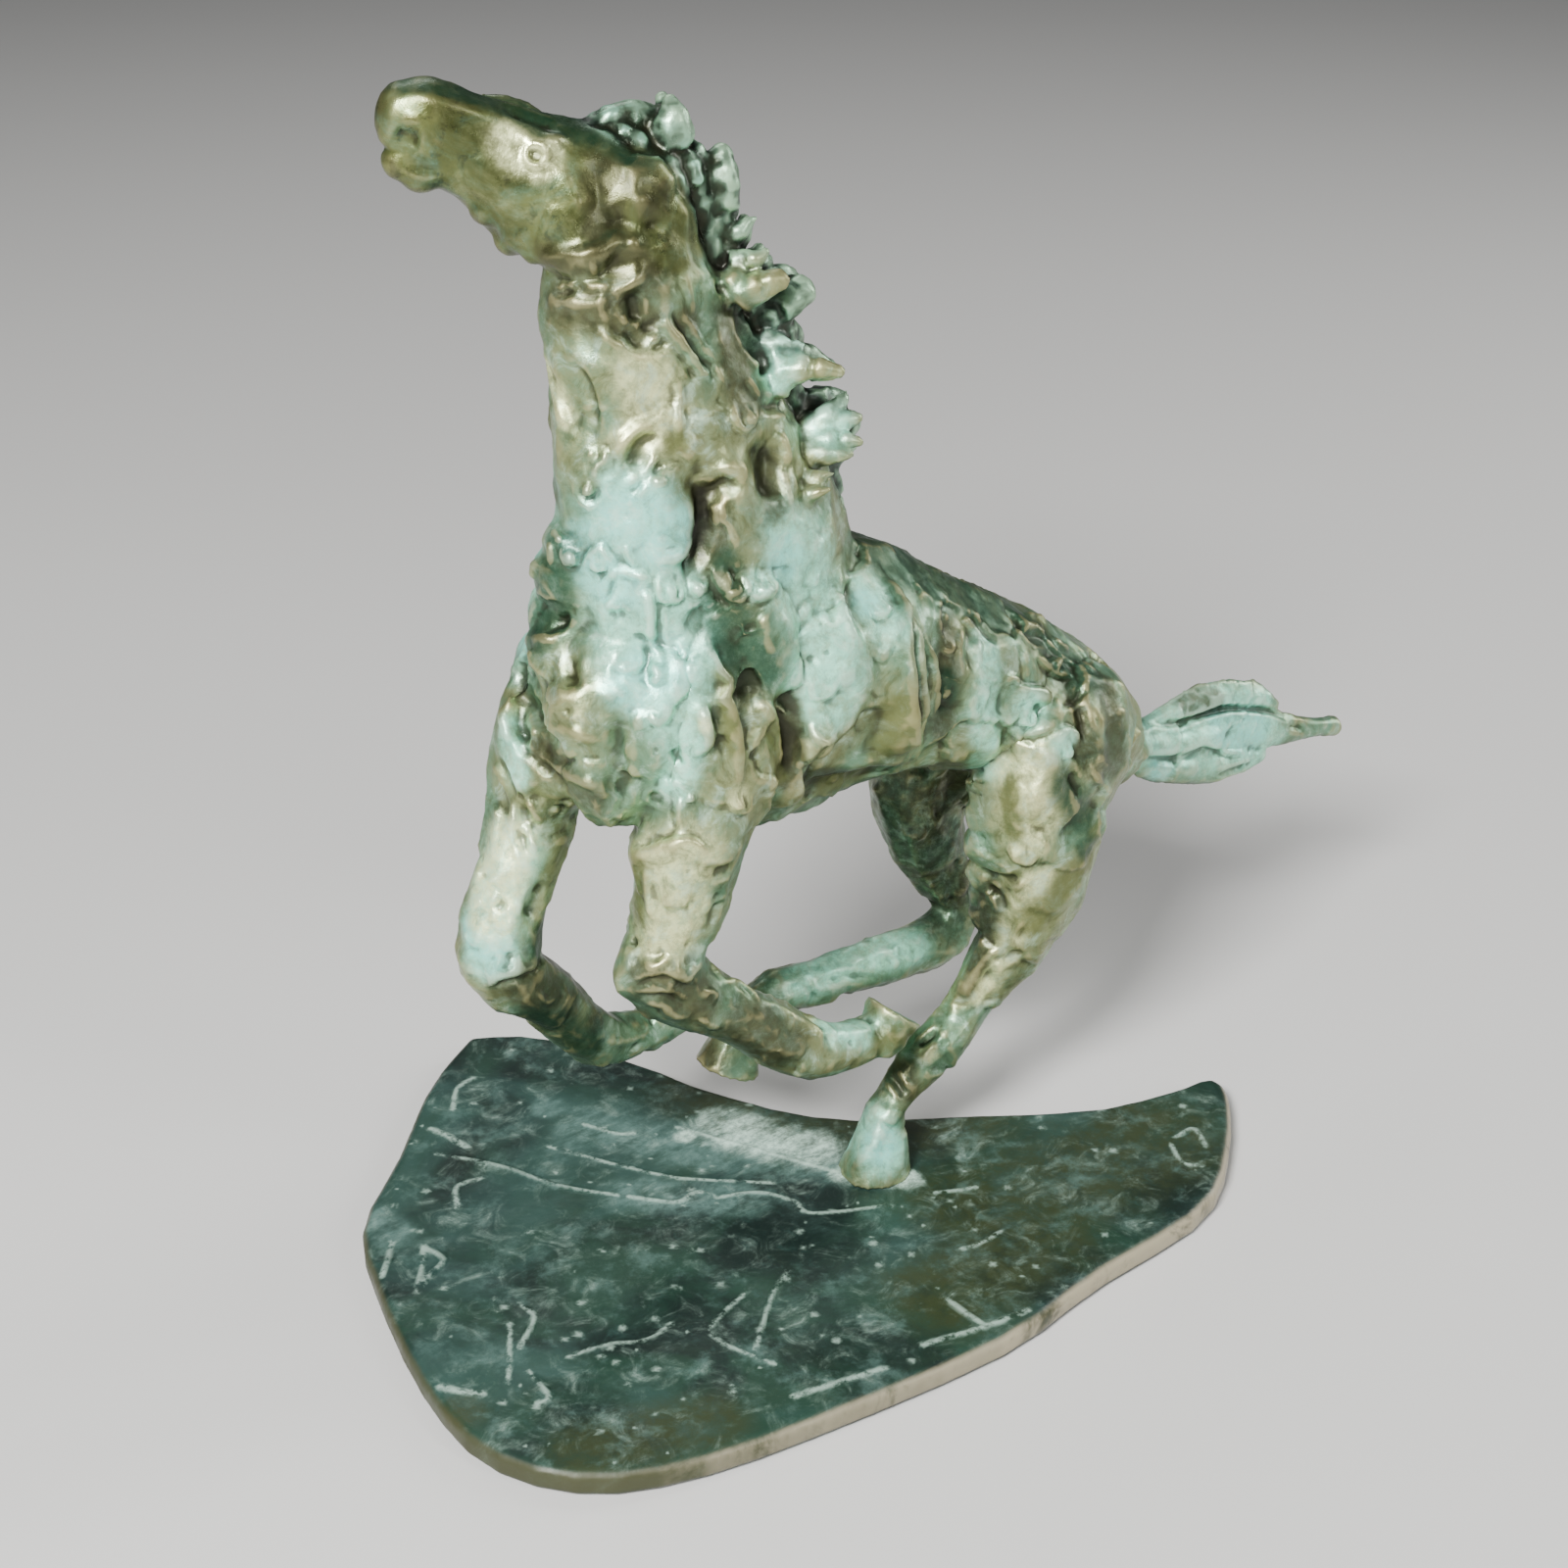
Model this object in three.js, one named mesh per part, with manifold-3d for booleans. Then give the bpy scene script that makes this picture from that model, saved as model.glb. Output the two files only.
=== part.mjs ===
// A galloping horse cast in bronze, balanced on one hind hoof on a thin free-form bronze plate.
// Millimetres, +Z up. The horse runs towards -X, and its left side faces -Y.
import * as THREE from "three";
import { mergeVertices } from "three/addons/utils/BufferGeometryUtils.js";
import Module from "manifold-3d";

const wasm = await Module();
wasm.setup();

// Driving dimensions
const HORSE_HEIGHT = 285; // sole of the planted hoof to the top of the muzzle
const PLATE_LENGTH = 236; // along the horse
const PLATE_WIDTH = 189; // across the horse
const PLATE_THICKNESS = 7;
const PLATE_ROUND = 1.6; // rounding of the plate's edges
const HOOF_SEAT = 0.3; // clearance between the planted hoof and the plate

// The figure: every place and radius below is in percent of the horse's height,
// measured from the middle of the planted hoof's sole.
const PERCENT = HORSE_HEIGHT / 100;
const MEDIAN = 3.5; // the body's middle plane, off the planted hoof
const LUMP = 0.3; // depth of the modelled surface's lumps
const HEAD_ACROSS = [0.4, 0.92, 0]; // the head is turned a little to the horse's right
const HEAD_TURN = -23.5; // degrees about Z, the same turn

// Where the planted hoof stands on the plate, as shares of the plate's length and width
const HOOF_ALONG = 0.58;
const HOOF_ACROSS = 0.37;

// The plate's outline, from its back corner round the concave back edge, the pointed end,
// the long front edge and the blunt end, as shares of its length and width
const PLATE_OUTLINE = [
  [0.388, 1.0], [0.45, 0.94], [0.505, 0.79], [0.54, 0.65], [0.61, 0.5], [0.72, 0.395],
  [0.85, 0.285], [0.95, 0.245], [1.0, 0.235], [0.985, 0.19], [0.905, 0.1], [0.81, 0.035],
  [0.64, 0.022], [0.5, 0.0], [0.3, 0.025], [0.15, 0.06], [0.055, 0.12], [0.005, 0.23],
  [0.012, 0.38], [0.055, 0.57], [0.1, 0.7], [0.19, 0.8], [0.3, 0.93],
];
const OUTLINE_STEPS = 60;

const BRONZE = { color: 0x7d8a72, roughness: 0.42, metalness: 0.85 };
const DARK_BRONZE = { color: 0x2c4238, roughness: 0.45, metalness: 0.75 };

// Turns a closed three.js geometry into a solid for joining and cutting.
function solid(geometry) {
  geometry.deleteAttribute("normal");
  geometry.deleteAttribute("uv");
  const merged = mergeVertices(geometry, 1e-4);
  return new wasm.Manifold(
    new wasm.Mesh({
      numProp: 3,
      vertProperties: merged.attributes.position.array,
      triVerts: new Uint32Array(merged.index.array),
    }),
  );
}

// Turns a solid back into a three.js geometry.
function geometryOf(manifold) {
  const { vertProperties, triVerts, numProp } = manifold.getMesh();
  const positions = new Float32Array((vertProperties.length / numProp) * 3);
  for (let i = 0; i < positions.length / 3; i++)
    positions.set(vertProperties.subarray(i * numProp, i * numProp + 3), i * 3);
  const geometry = new THREE.BufferGeometry();
  geometry.setAttribute("position", new THREE.BufferAttribute(positions, 3));
  geometry.setIndex(new THREE.BufferAttribute(triVerts, 1));
  geometry.computeVertexNormals();
  return geometry;
}

// The clay's uneven surface: a smooth, repeatable swelling of the skin at a point.
function lump({ x, y, z }) {
  const broad = Math.sin(x * 0.9 + 1.3) * Math.sin(y * 1.1 + z * 0.5) * Math.sin(z * 0.8 + 2.1);
  const fine = Math.sin(x * 2.1 + z * 0.7) * Math.sin(y * 2.4 + 0.6) * Math.sin(z * 1.9 - x * 0.4);
  return LUMP * (broad + 0.6 * fine);
}

// Joins a first pole, rings of equal count and a last pole into one closed geometry.
function skin(positions, sides) {
  const count = positions.length / 3;
  const ringCount = (count - 2) / sides;
  const at = (ring, k) => 1 + ring * sides + (k % sides);
  const index = [];
  for (let k = 0; k < sides; k++) {
    index.push(0, at(0, k + 1), at(0, k));
    index.push(count - 1, at(ringCount - 1, k), at(ringCount - 1, k + 1));
    for (let ring = 0; ring + 1 < ringCount; ring++) {
      index.push(at(ring, k), at(ring, k + 1), at(ring + 1, k));
      index.push(at(ring, k + 1), at(ring + 1, k + 1), at(ring + 1, k));
    }
  }
  const geometry = new THREE.BufferGeometry();
  geometry.setAttribute("position", new THREE.Float32BufferAttribute(positions, 3));
  geometry.setIndex(index);
  return geometry;
}

// A closed, round-ended skin along a smooth path. Each section is [x, y, z, deep, wide]: the
// middle of an ellipse, its radius in the limb's own plane and its radius across that plane.
function limb(sections, { across = [0, 1, 0], sides = 12, rings = 24, caps = 2, cap = 0.7, lumpy = 1 } = {}) {
  const path = new THREE.CatmullRomCurve3(
    sections.map(([x, y, z]) => new THREE.Vector3(x, y, z)), false, "centripetal");
  const radii = new THREE.CatmullRomCurve3(
    sections.map(([, , , deep, wide = deep]) => new THREE.Vector3(deep, wide, 0)), false, "catmullrom", 0.4);
  const side = new THREE.Vector3(...across);
  const positions = [];
  const ring = (t, shrink, shift) => {
    const tangent = path.getTangent(t);
    const centre = path.getPoint(t).addScaledVector(tangent, shift);
    const { x: deep, y: wide } = radii.getPoint(t);
    const wideAxis = side.clone().addScaledVector(tangent, -side.dot(tangent)).normalize();
    const deepAxis = new THREE.Vector3().crossVectors(wideAxis, tangent).normalize();
    for (let k = 0; k < sides; k++) {
      const turn = (2 * Math.PI * k) / sides;
      const out = new THREE.Vector3()
        .addScaledVector(deepAxis, shrink * deep * Math.cos(turn))
        .addScaledVector(wideAxis, shrink * wide * Math.sin(turn));
      const point = centre.clone().add(out);
      point.addScaledVector(out.normalize(), lumpy * lump(point) * Math.min(1, deep / 3));
      positions.push(point.x, point.y, point.z);
    }
  };
  const reach = (t) => cap * Math.min(...radii.getPoint(t).toArray().slice(0, 2));
  const pole = (t, sign) => {
    const tip = path.getPoint(t).addScaledVector(path.getTangent(t), sign * reach(t));
    positions.push(tip.x, tip.y, tip.z);
  };
  const rounding = Array.from({ length: caps }, (_, i) => ((i + 1) / (caps + 1)) * (Math.PI / 2));
  pole(0, -1);
  rounding.toReversed().forEach((angle) => ring(0, Math.cos(angle), -reach(0) * Math.sin(angle)));
  for (let i = 0; i <= rings; i++) ring(i / rings, 1, 0);
  rounding.forEach((angle) => ring(1, Math.cos(angle), reach(1) * Math.sin(angle)));
  pole(1, 1);
  return solid(skin(positions, sides));
}

// A muscle or a boss: an ellipsoid at a place, turned by degrees about Y and then Z.
function mass([x, y, z], [rx, ry, rz], aboutY = 0, aboutZ = 0) {
  const geometry = new THREE.SphereGeometry(1, 10, 6);
  geometry.scale(rx, ry, rz);
  geometry.rotateY(THREE.MathUtils.degToRad(aboutY));
  geometry.rotateZ(THREE.MathUtils.degToRad(aboutZ));
  geometry.translate(x, y, z);
  return solid(geometry);
}

// A hoof: a flared wall from the coronet to a flat sole, square to the line that joins them.
function hoof(coronet, sole, coronetRadius, soleRadius) {
  const from = new THREE.Vector3(...coronet);
  const to = new THREE.Vector3(...sole);
  const wall = new THREE.CylinderGeometry(soleRadius, coronetRadius, from.distanceTo(to), 12, 2);
  wall.applyQuaternion(new THREE.Quaternion().setFromUnitVectors(
    new THREE.Vector3(0, 1, 0), to.clone().sub(from).normalize()));
  const middle = from.add(to).multiplyScalar(0.5);
  wall.translate(middle.x, middle.y, middle.z);
  return solid(wall);
}

function trunk() {
  const barrel = limb([
    [30.0, MEDIAN, 31.4, 3.6, 4.0], [27.0, MEDIAN, 34.4, 5.2, 6.2], [21.0, MEDIAN, 38.8, 6.5, 7.4],
    [13.0, MEDIAN, 43.2, 7.7, 7.6], [5.0, MEDIAN, 46.8, 8.7, 8.4], [-3.0, MEDIAN, 49.4, 11.2, 9.0],
    [-11.0, MEDIAN, 50.8, 12.8, 8.8], [-18.0, MEDIAN, 52.0, 12.0, 8.6], [-25.0, MEDIAN, 52.4, 8.6, 6.8],
  ], { sides: 18, rings: 18, cap: 0.8 });
  const shoulders = [
    mass([-17.5, -1.6, 55.0], [5.6, 4.4, 10.0], 14),
    mass([-24.0, 8.2, 56.5], [4.6, 3.6, 8.0], 20),
    mass([-25.6, 1.0, 49.5], [4.8, 3.6, 6.4], 12),
    mass([-27.0, 6.2, 49.0], [4.4, 3.2, 6.2], 12),
  ];
  const haunches = [
    mass([18.6, -1.8, 37.0], [8.2, 5.2, 8.4], 25),
    mass([18.0, 8.4, 35.4], [7.8, 5.2, 7.8], 25),
  ];
  return [barrel, ...shoulders, ...haunches];
}

function neck() {
  return [limb([
    [-14.0, 3.5, 56.0, 12.8, 7.8], [-16.0, 3.7, 63.5, 12.5, 7.4], [-18.0, 4.1, 71.0, 10.3, 6.3],
    [-19.4, 4.6, 78.0, 8.5, 5.4], [-20.8, 5.2, 84.5, 6.9, 4.9], [-20.0, 5.7, 89.6, 5.0, 4.2],
  ], { sides: 16, rings: 13 })];
}

function head() {
  const skull = limb([
    [-17.6, 5.6, 91.0, 3.4, 3.2], [-20.2, 6.6, 90.2, 5.0, 4.0], [-23.2, 7.8, 90.4, 5.5, 4.4],
    [-26.0, 9.1, 91.8, 4.9, 3.8], [-28.6, 10.3, 93.7, 4.0, 3.1], [-30.8, 11.1, 95.2, 3.3, 2.7],
    [-33.0, 12.1, 96.6, 3.1, 2.8], [-34.6, 12.9, 97.1, 2.4, 2.3],
  ], { across: HEAD_ACROSS, sides: 14, rings: 16, lumpy: 0.4 });
  const lowerJaw = limb([
    [-25.4, 8.8, 89.4, 2.6, 2.6], [-28.6, 10.2, 91.5, 2.0, 2.1], [-31.2, 11.2, 93.2, 1.9, 1.9],
    [-33.9, 12.5, 94.2, 1.9, 1.9],
  ], { across: HEAD_ACROSS, sides: 10, rings: 7, lumpy: 0.3 });
  return [
    skull, lowerJaw,
    mass([-22.9, 4.7, 88.5], [3.9, 2.2, 4.3], 0, HEAD_TURN), // near cheek
    mass([-20.8, 10.4, 89.2], [3.4, 1.8, 4.0], 0, HEAD_TURN), // far cheek
    mass([-26.6, 6.8, 94.4], [1.8, 0.9, 0.9], -25, HEAD_TURN), // near brow
    mass([-25.9, 11.9, 96.0], [2.9, 1.0, 1.2], 20, HEAD_TURN), // far brow
    mass([-20.4, 3.7, 91.2], [2.6, 1.5, 2.6], 10, HEAD_TURN), // near ear, laid back
    mass([-16.6, 8.6, 91.6], [3.2, 1.4, 2.4], 10, HEAD_TURN), // far ear, laid back
    mass([-28.4, 9.8, 89.2], [1.3, 1.3, 1.1], 0, HEAD_TURN), // throat bump
  ];
}

function foreLegs() {
  const left = limb([
    [-17.5, -1.6, 54.0, 5.6, 4.4], [-19.5, -2.0, 47.2, 5.5, 4.4], [-21.3, -1.8, 41.2, 4.8, 4.0],
    [-22.0, -1.6, 37.3, 4.3, 3.6], [-23.1, -1.3, 33.6, 3.7, 3.3], [-24.0, -1.2, 30.4, 3.6, 3.3],
    [-21.8, -1.5, 27.6, 3.0, 2.8], [-18.6, -2.0, 25.2, 2.5, 2.4], [-15.0, -2.5, 22.2, 2.6, 2.4],
    [-11.0, -3.0, 18.9, 2.8, 2.5], [-7.4, -3.3, 17.5, 2.2, 2.0], [-4.6, -3.4, 17.3, 2.0, 1.9],
  ], { sides: 10, rings: 20 });
  const leftHoof = hoof([-3.6, -3.4, 15.9], [-1.3, -3.5, 18.7], 1.9, 2.6);
  const right = limb([
    [-26.0, 8.8, 54.0, 4.6, 3.8], [-27.6, 9.0, 48.0, 4.6, 3.9], [-28.9, 8.8, 43.2, 4.1, 3.5],
    [-30.6, 8.5, 39.0, 3.4, 3.2], [-32.0, 8.4, 35.2, 3.3, 3.1], [-32.8, 8.3, 32.3, 3.4, 3.2],
    [-32.6, 8.3, 29.4, 3.2, 3.1], [-29.6, 8.6, 26.2, 2.7, 2.6], [-25.9, 9.4, 21.7, 2.5, 2.4],
    [-22.4, 10.0, 17.8, 2.4, 2.2], [-18.6, 10.5, 16.6, 2.0, 1.9],
  ], { sides: 10, rings: 19 });
  const rightHoof = hoof([-18.0, 10.6, 15.9], [-13.4, 11.0, 17.4], 1.8, 2.6);
  return [left, leftHoof, right, rightHoof];
}

function hindLegs() {
  const left = limb([
    [18.0, -1.4, 40.0, 6.2, 4.4], [16.8, -2.4, 35.0, 7.0, 4.6], [16.4, -2.9, 30.5, 6.5, 4.2],
    [16.2, -2.8, 26.4, 5.6, 3.9], [15.3, -2.3, 22.2, 4.7, 3.4], [13.7, -1.8, 18.9, 3.7, 2.9],
    [11.7, -1.2, 15.8, 2.8, 2.4], [9.4, -0.8, 12.9, 2.3, 2.1], [7.0, -0.4, 10.8, 2.2, 2.1],
    [5.0, 0.0, 9.0, 2.3, 2.1], [2.4, 0.0, 7.2, 1.7, 1.7], [1.2, 0.0, 5.6, 1.7, 1.7],
  ], { sides: 11, rings: 21 });
  const leftHoof = hoof([1.3, 0.0, 6.8], [0.0, 0.0, -0.5], 1.6, 3.2);
  const right = limb([
    [13.6, 8.4, 37.0, 5.0, 4.0], [12.2, 9.2, 32.3, 4.6, 3.8], [13.3, 9.1, 25.9, 3.9, 3.3],
    [15.3, 8.6, 20.8, 2.6, 2.5], [16.4, 8.0, 17.8, 2.3, 2.2], [14.2, 7.6, 15.6, 2.6, 2.3],
    [10.2, 7.7, 15.4, 2.5, 2.2], [5.1, 8.0, 15.6, 2.2, 2.0], [-0.2, 8.5, 15.6, 2.1, 2.0],
    [-4.2, 9.0, 15.9, 2.2, 2.1], [-6.8, 9.3, 14.6, 1.8, 1.7],
  ], { sides: 9, rings: 19 });
  const rightHoof = hoof([-7.2, 9.4, 14.8], [-9.1, 9.7, 9.8], 1.6, 2.9);
  return [left, leftHoof, right, rightHoof];
}

// A lock of hair: from its root it swells, then thins to a tip that bends up or down.
function lock(root, tip, thick, bend) {
  const from = new THREE.Vector3(...root);
  const to = new THREE.Vector3(...tip);
  const stations = [[0, 1], [0.4, 1.05], [0.75, 0.75], [1, 0.4]];
  return limb(stations.map(([share, swell]) => {
    const place = from.clone().lerp(to, share);
    const lift = bend * Math.sin(Math.PI * share);
    return [place.x, place.y, place.z + lift, thick * swell, 0.8 * thick * swell];
  }), { sides: 7, rings: 4, caps: 1 });
}

// The mane: a rough ridge down the crest, with clotted locks blown back off it.
function mane() {
  const crest = [
    [-17.0, 5.2, 92.6], [-15.4, 5.0, 90.6], [-14.0, 4.8, 86.3], [-12.2, 4.4, 81.8],
    [-9.9, 4.2, 77.6], [-7.6, 4.0, 73.3], [-5.4, 3.7, 68.9], [-3.8, 3.5, 65.0],
  ];
  const ridge = limb(crest.map((place) => [...place, 1.9, 1.8]), { sides: 8, rings: 16 });
  return [
    ridge,
    lock([-21.6, 7.4, 94.4], [-17.0, 6.2, 95.6], 1.7, 0.3), // forelock
    lock([-17.4, 5.6, 93.0], [-16.2, 5.4, 96.4], 1.9, 0),
    lock([-15.6, 5.0, 91.6], [-14.8, 4.8, 93.4], 1.5, 0),
    lock([-15.4, 4.8, 88.6], [-12.8, 4.6, 92.4], 1.7, 0.4),
    lock([-14.6, 4.2, 87.0], [-11.9, 4.2, 89.0], 1.6, 0.2),
    lock([-13.6, 4.6, 84.8], [-10.6, 4.2, 87.4], 1.2, -0.5),
    lock([-12.6, 4.2, 83.4], [-9.4, 4.2, 85.0], 1.1, -0.4),
    lock([-14.2, 1.6, 83.4], [-9.4, 3.0, 84.0], 1.3, 0.6), // near-side curl
    lock([-10.8, 3.6, 81.8], [-6.2, 3.6, 81.4], 2.1, 0.3), // big curl
    lock([-10.2, 3.0, 78.8], [-6.4, 3.4, 77.4], 1.9, 0.2),
    lock([-10.6, 1.6, 76.8], [-8.2, 1.4, 77.0], 1.7, 0),
    lock([-8.0, 3.8, 76.4], [-2.4, 3.6, 74.0], 1.2, 0.4), // long spike
    lock([-5.8, 3.4, 71.6], [-1.6, 3.6, 71.6], 1.9, -0.2),
    lock([-5.6, 3.0, 69.6], [-0.6, 3.4, 69.6], 1.9, 0),
    lock([-5.0, 3.2, 67.4], [-0.6, 3.6, 67.6], 1.5, 0.2),
    lock([-4.8, 2.8, 64.6], [-2.8, 3.4, 64.6], 1.6, 0),
  ];
}

// The tail streams back: a flat-sided stem with a crescent lobe above and a scalloped one below.
function tail() {
  return [
    limb([
      [29.0, MEDIAN, 31.6, 3.0, 2.4], [32.8, MEDIAN, 30.8, 2.5, 1.8], [38.5, MEDIAN, 29.4, 2.2, 1.5],
      [44.5, MEDIAN, 28.8, 2.4, 1.6], [50.0, MEDIAN, 27.4, 2.3, 1.5], [55.0, MEDIAN, 25.6, 1.6, 1.1],
      [59.5, MEDIAN, 24.5, 1.0, 0.9], [62.4, MEDIAN, 23.8, 1.0, 0.9],
    ], { sides: 10, rings: 16, lumpy: 0.5 }),
    limb([
      [34.4, 3.6, 32.0, 0.7, 0.7], [39.0, 3.9, 32.0, 1.0, 0.9], [44.5, 4.1, 32.2, 1.3, 1.0],
      [49.5, 4.0, 31.0, 1.2, 0.9], [53.4, 3.8, 28.6, 0.7, 0.6],
    ], { sides: 7, rings: 8, caps: 1, lumpy: 0.4 }),
    limb([
      [34.4, 3.0, 28.6, 1.2, 1.0], [38.8, 2.8, 26.9, 1.6, 1.2], [44.8, 2.8, 25.5, 1.9, 1.3],
      [51.2, 3.1, 24.3, 0.9, 0.8],
    ], { sides: 7, rings: 8, caps: 1 }),
  ];
}

function horse() {
  const pieces = [trunk, neck, head, foreLegs, hindLegs, mane, tail].flatMap((make) => make());
  const whole = pieces.reduce((sum, piece) => sum.add(piece));
  const ground = solid(new THREE.BoxGeometry(40, 40, 10).translate(0, 0, -5));
  const geometry = geometryOf(whole.subtract(ground));
  geometry.scale(PERCENT, PERCENT, PERCENT);
  return geometry;
}

function plate() {
  const inside = [PLATE_LENGTH - 2 * PLATE_ROUND, PLATE_WIDTH - 2 * PLATE_ROUND];
  const corners = PLATE_OUTLINE.map(([along, across]) =>
    new THREE.Vector2(PLATE_ROUND + along * inside[0], PLATE_ROUND + across * inside[1]));
  const edge = new THREE.SplineCurve([...corners, corners[0]]);
  const shape = new THREE.Shape(edge.getPoints(OUTLINE_STEPS).slice(0, -1));
  const geometry = new THREE.ExtrudeGeometry(shape, {
    depth: PLATE_THICKNESS - 2 * PLATE_ROUND,
    bevelThickness: PLATE_ROUND, bevelSize: PLATE_ROUND, bevelSegments: 1,
  });
  geometry.translate(0, 0, PLATE_ROUND);
  return geometry;
}

function named(name, geometry, finish) {
  const mesh = new THREE.Mesh(geometry, new THREE.MeshStandardMaterial(finish));
  mesh.name = name;
  return mesh;
}

const sculpture = new THREE.Group();
const basePlate = named("base_plate", plate(), DARK_BRONZE);
const figure = named("horse", horse(), BRONZE);
figure.position.set(HOOF_ALONG * PLATE_LENGTH, HOOF_ACROSS * PLATE_WIDTH, PLATE_THICKNESS + HOOF_SEAT);
sculpture.add(basePlate, figure);

// The origin is under the middle of the whole sculpture, at the plate's underside.
const box = new THREE.Box3().setFromObject(sculpture, true);
const middle = box.getCenter(new THREE.Vector3());
sculpture.position.set(-middle.x, -middle.y, -box.min.z);

export default sculpture;
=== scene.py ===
# A bronze horse at full gallop on one hoof: the finish of the cast and its plate, the studio and the camera.
import math

import bmesh
import bpy
import numpy as np
from mathutils import Matrix, Vector, noise
from mathutils.bvhtree import BVHTree
from mathutils.kdtree import KDTree


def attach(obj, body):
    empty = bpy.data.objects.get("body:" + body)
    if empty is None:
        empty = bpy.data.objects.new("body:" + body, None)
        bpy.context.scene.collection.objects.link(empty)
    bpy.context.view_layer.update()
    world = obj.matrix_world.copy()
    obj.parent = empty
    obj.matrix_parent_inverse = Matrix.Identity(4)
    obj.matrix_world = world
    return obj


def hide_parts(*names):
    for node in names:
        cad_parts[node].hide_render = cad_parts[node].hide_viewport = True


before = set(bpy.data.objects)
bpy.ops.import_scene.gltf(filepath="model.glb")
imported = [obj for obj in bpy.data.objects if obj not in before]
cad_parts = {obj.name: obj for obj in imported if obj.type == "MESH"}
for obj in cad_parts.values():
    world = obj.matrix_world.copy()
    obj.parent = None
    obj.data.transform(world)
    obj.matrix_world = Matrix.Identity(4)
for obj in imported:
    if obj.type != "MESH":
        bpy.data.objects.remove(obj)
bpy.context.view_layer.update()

# Sizes, in metres. Places on the figure are in percent of its height, from the planted hoof's sole.
MM = 0.001
HORSE_HEIGHT = 0.285
PERCENT = HORSE_HEIGHT / 100
HORSE_VOXEL = 0.76 * MM
HORSE_TRIANGLES = 196_000
JOIN_ROUNDS = 22  # rounds of relaxing that round off the CAD form's facets and joins
PLATE_VOXEL = 0.72 * MM
PLATE_TRIANGLES = 150_000
BODY_MIDDLE = 3.5  # the body's middle plane, in percent off the planted hoof
HEAD_ACROSS = Vector((0.4, 0.917, 0.0))
HEAD_FOOT = 83  # the head's lowest place, in percent

# The camera stands where the photographer did.
IMAGE = 1600
FOCAL_PIXELS = 2800
CAMERA_AZIMUTH = math.radians(-39)
CAMERA_PITCH = math.radians(27)
HOOF_PIXEL = (893, 1193)
HOOF_DISTANCE = 0.7


def smooth_step(low, high, value):
    share = np.clip((value - low) / (high - low), 0, 1)
    return share * share * (3 - 2 * share)


# Camera


def hoof_centre():
    """The middle of the planted hoof's sole, read from the frame."""
    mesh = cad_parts["horse"].data
    points = np.empty(len(mesh.vertices) * 3)
    mesh.vertices.foreach_get("co", points)
    points = points.reshape(-1, 3)
    sole = points[points[:, 2] < points[:, 2].min() + 0.1 * MM]
    return Vector((sole.min(axis=0) + sole.max(axis=0)) / 2)


HOOF = hoof_centre()
BACK = Vector((
    math.sin(CAMERA_AZIMUTH) * math.cos(CAMERA_PITCH),
    -math.cos(CAMERA_AZIMUTH) * math.cos(CAMERA_PITCH),
    math.sin(CAMERA_PITCH),
))
RIGHT = Vector((math.cos(CAMERA_AZIMUTH), math.sin(CAMERA_AZIMUTH), 0))
UP = BACK.cross(RIGHT)


def ray(pixel):
    """The direction in which the camera sees a pixel, one unit deep."""
    across = (pixel[0] - IMAGE / 2) / FOCAL_PIXELS
    down = (pixel[1] - IMAGE / 2) / FOCAL_PIXELS
    return RIGHT * across - UP * down - BACK


EYE = HOOF - ray(HOOF_PIXEL) * HOOF_DISTANCE


def add_camera():
    camera = bpy.data.objects.new("camera", bpy.data.cameras.new("camera"))
    camera.data.sensor_width = 36
    camera.data.lens = 36 * FOCAL_PIXELS / IMAGE
    camera.data.clip_start = 0.01
    turn = Matrix((RIGHT, UP, BACK)).transposed().to_4x4()
    camera.matrix_world = Matrix.Translation(EYE) @ turn
    bpy.context.scene.collection.objects.link(camera)
    bpy.context.scene.camera = camera


# Clay: a skin shaped as a cloud of points with their neighbours


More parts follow.
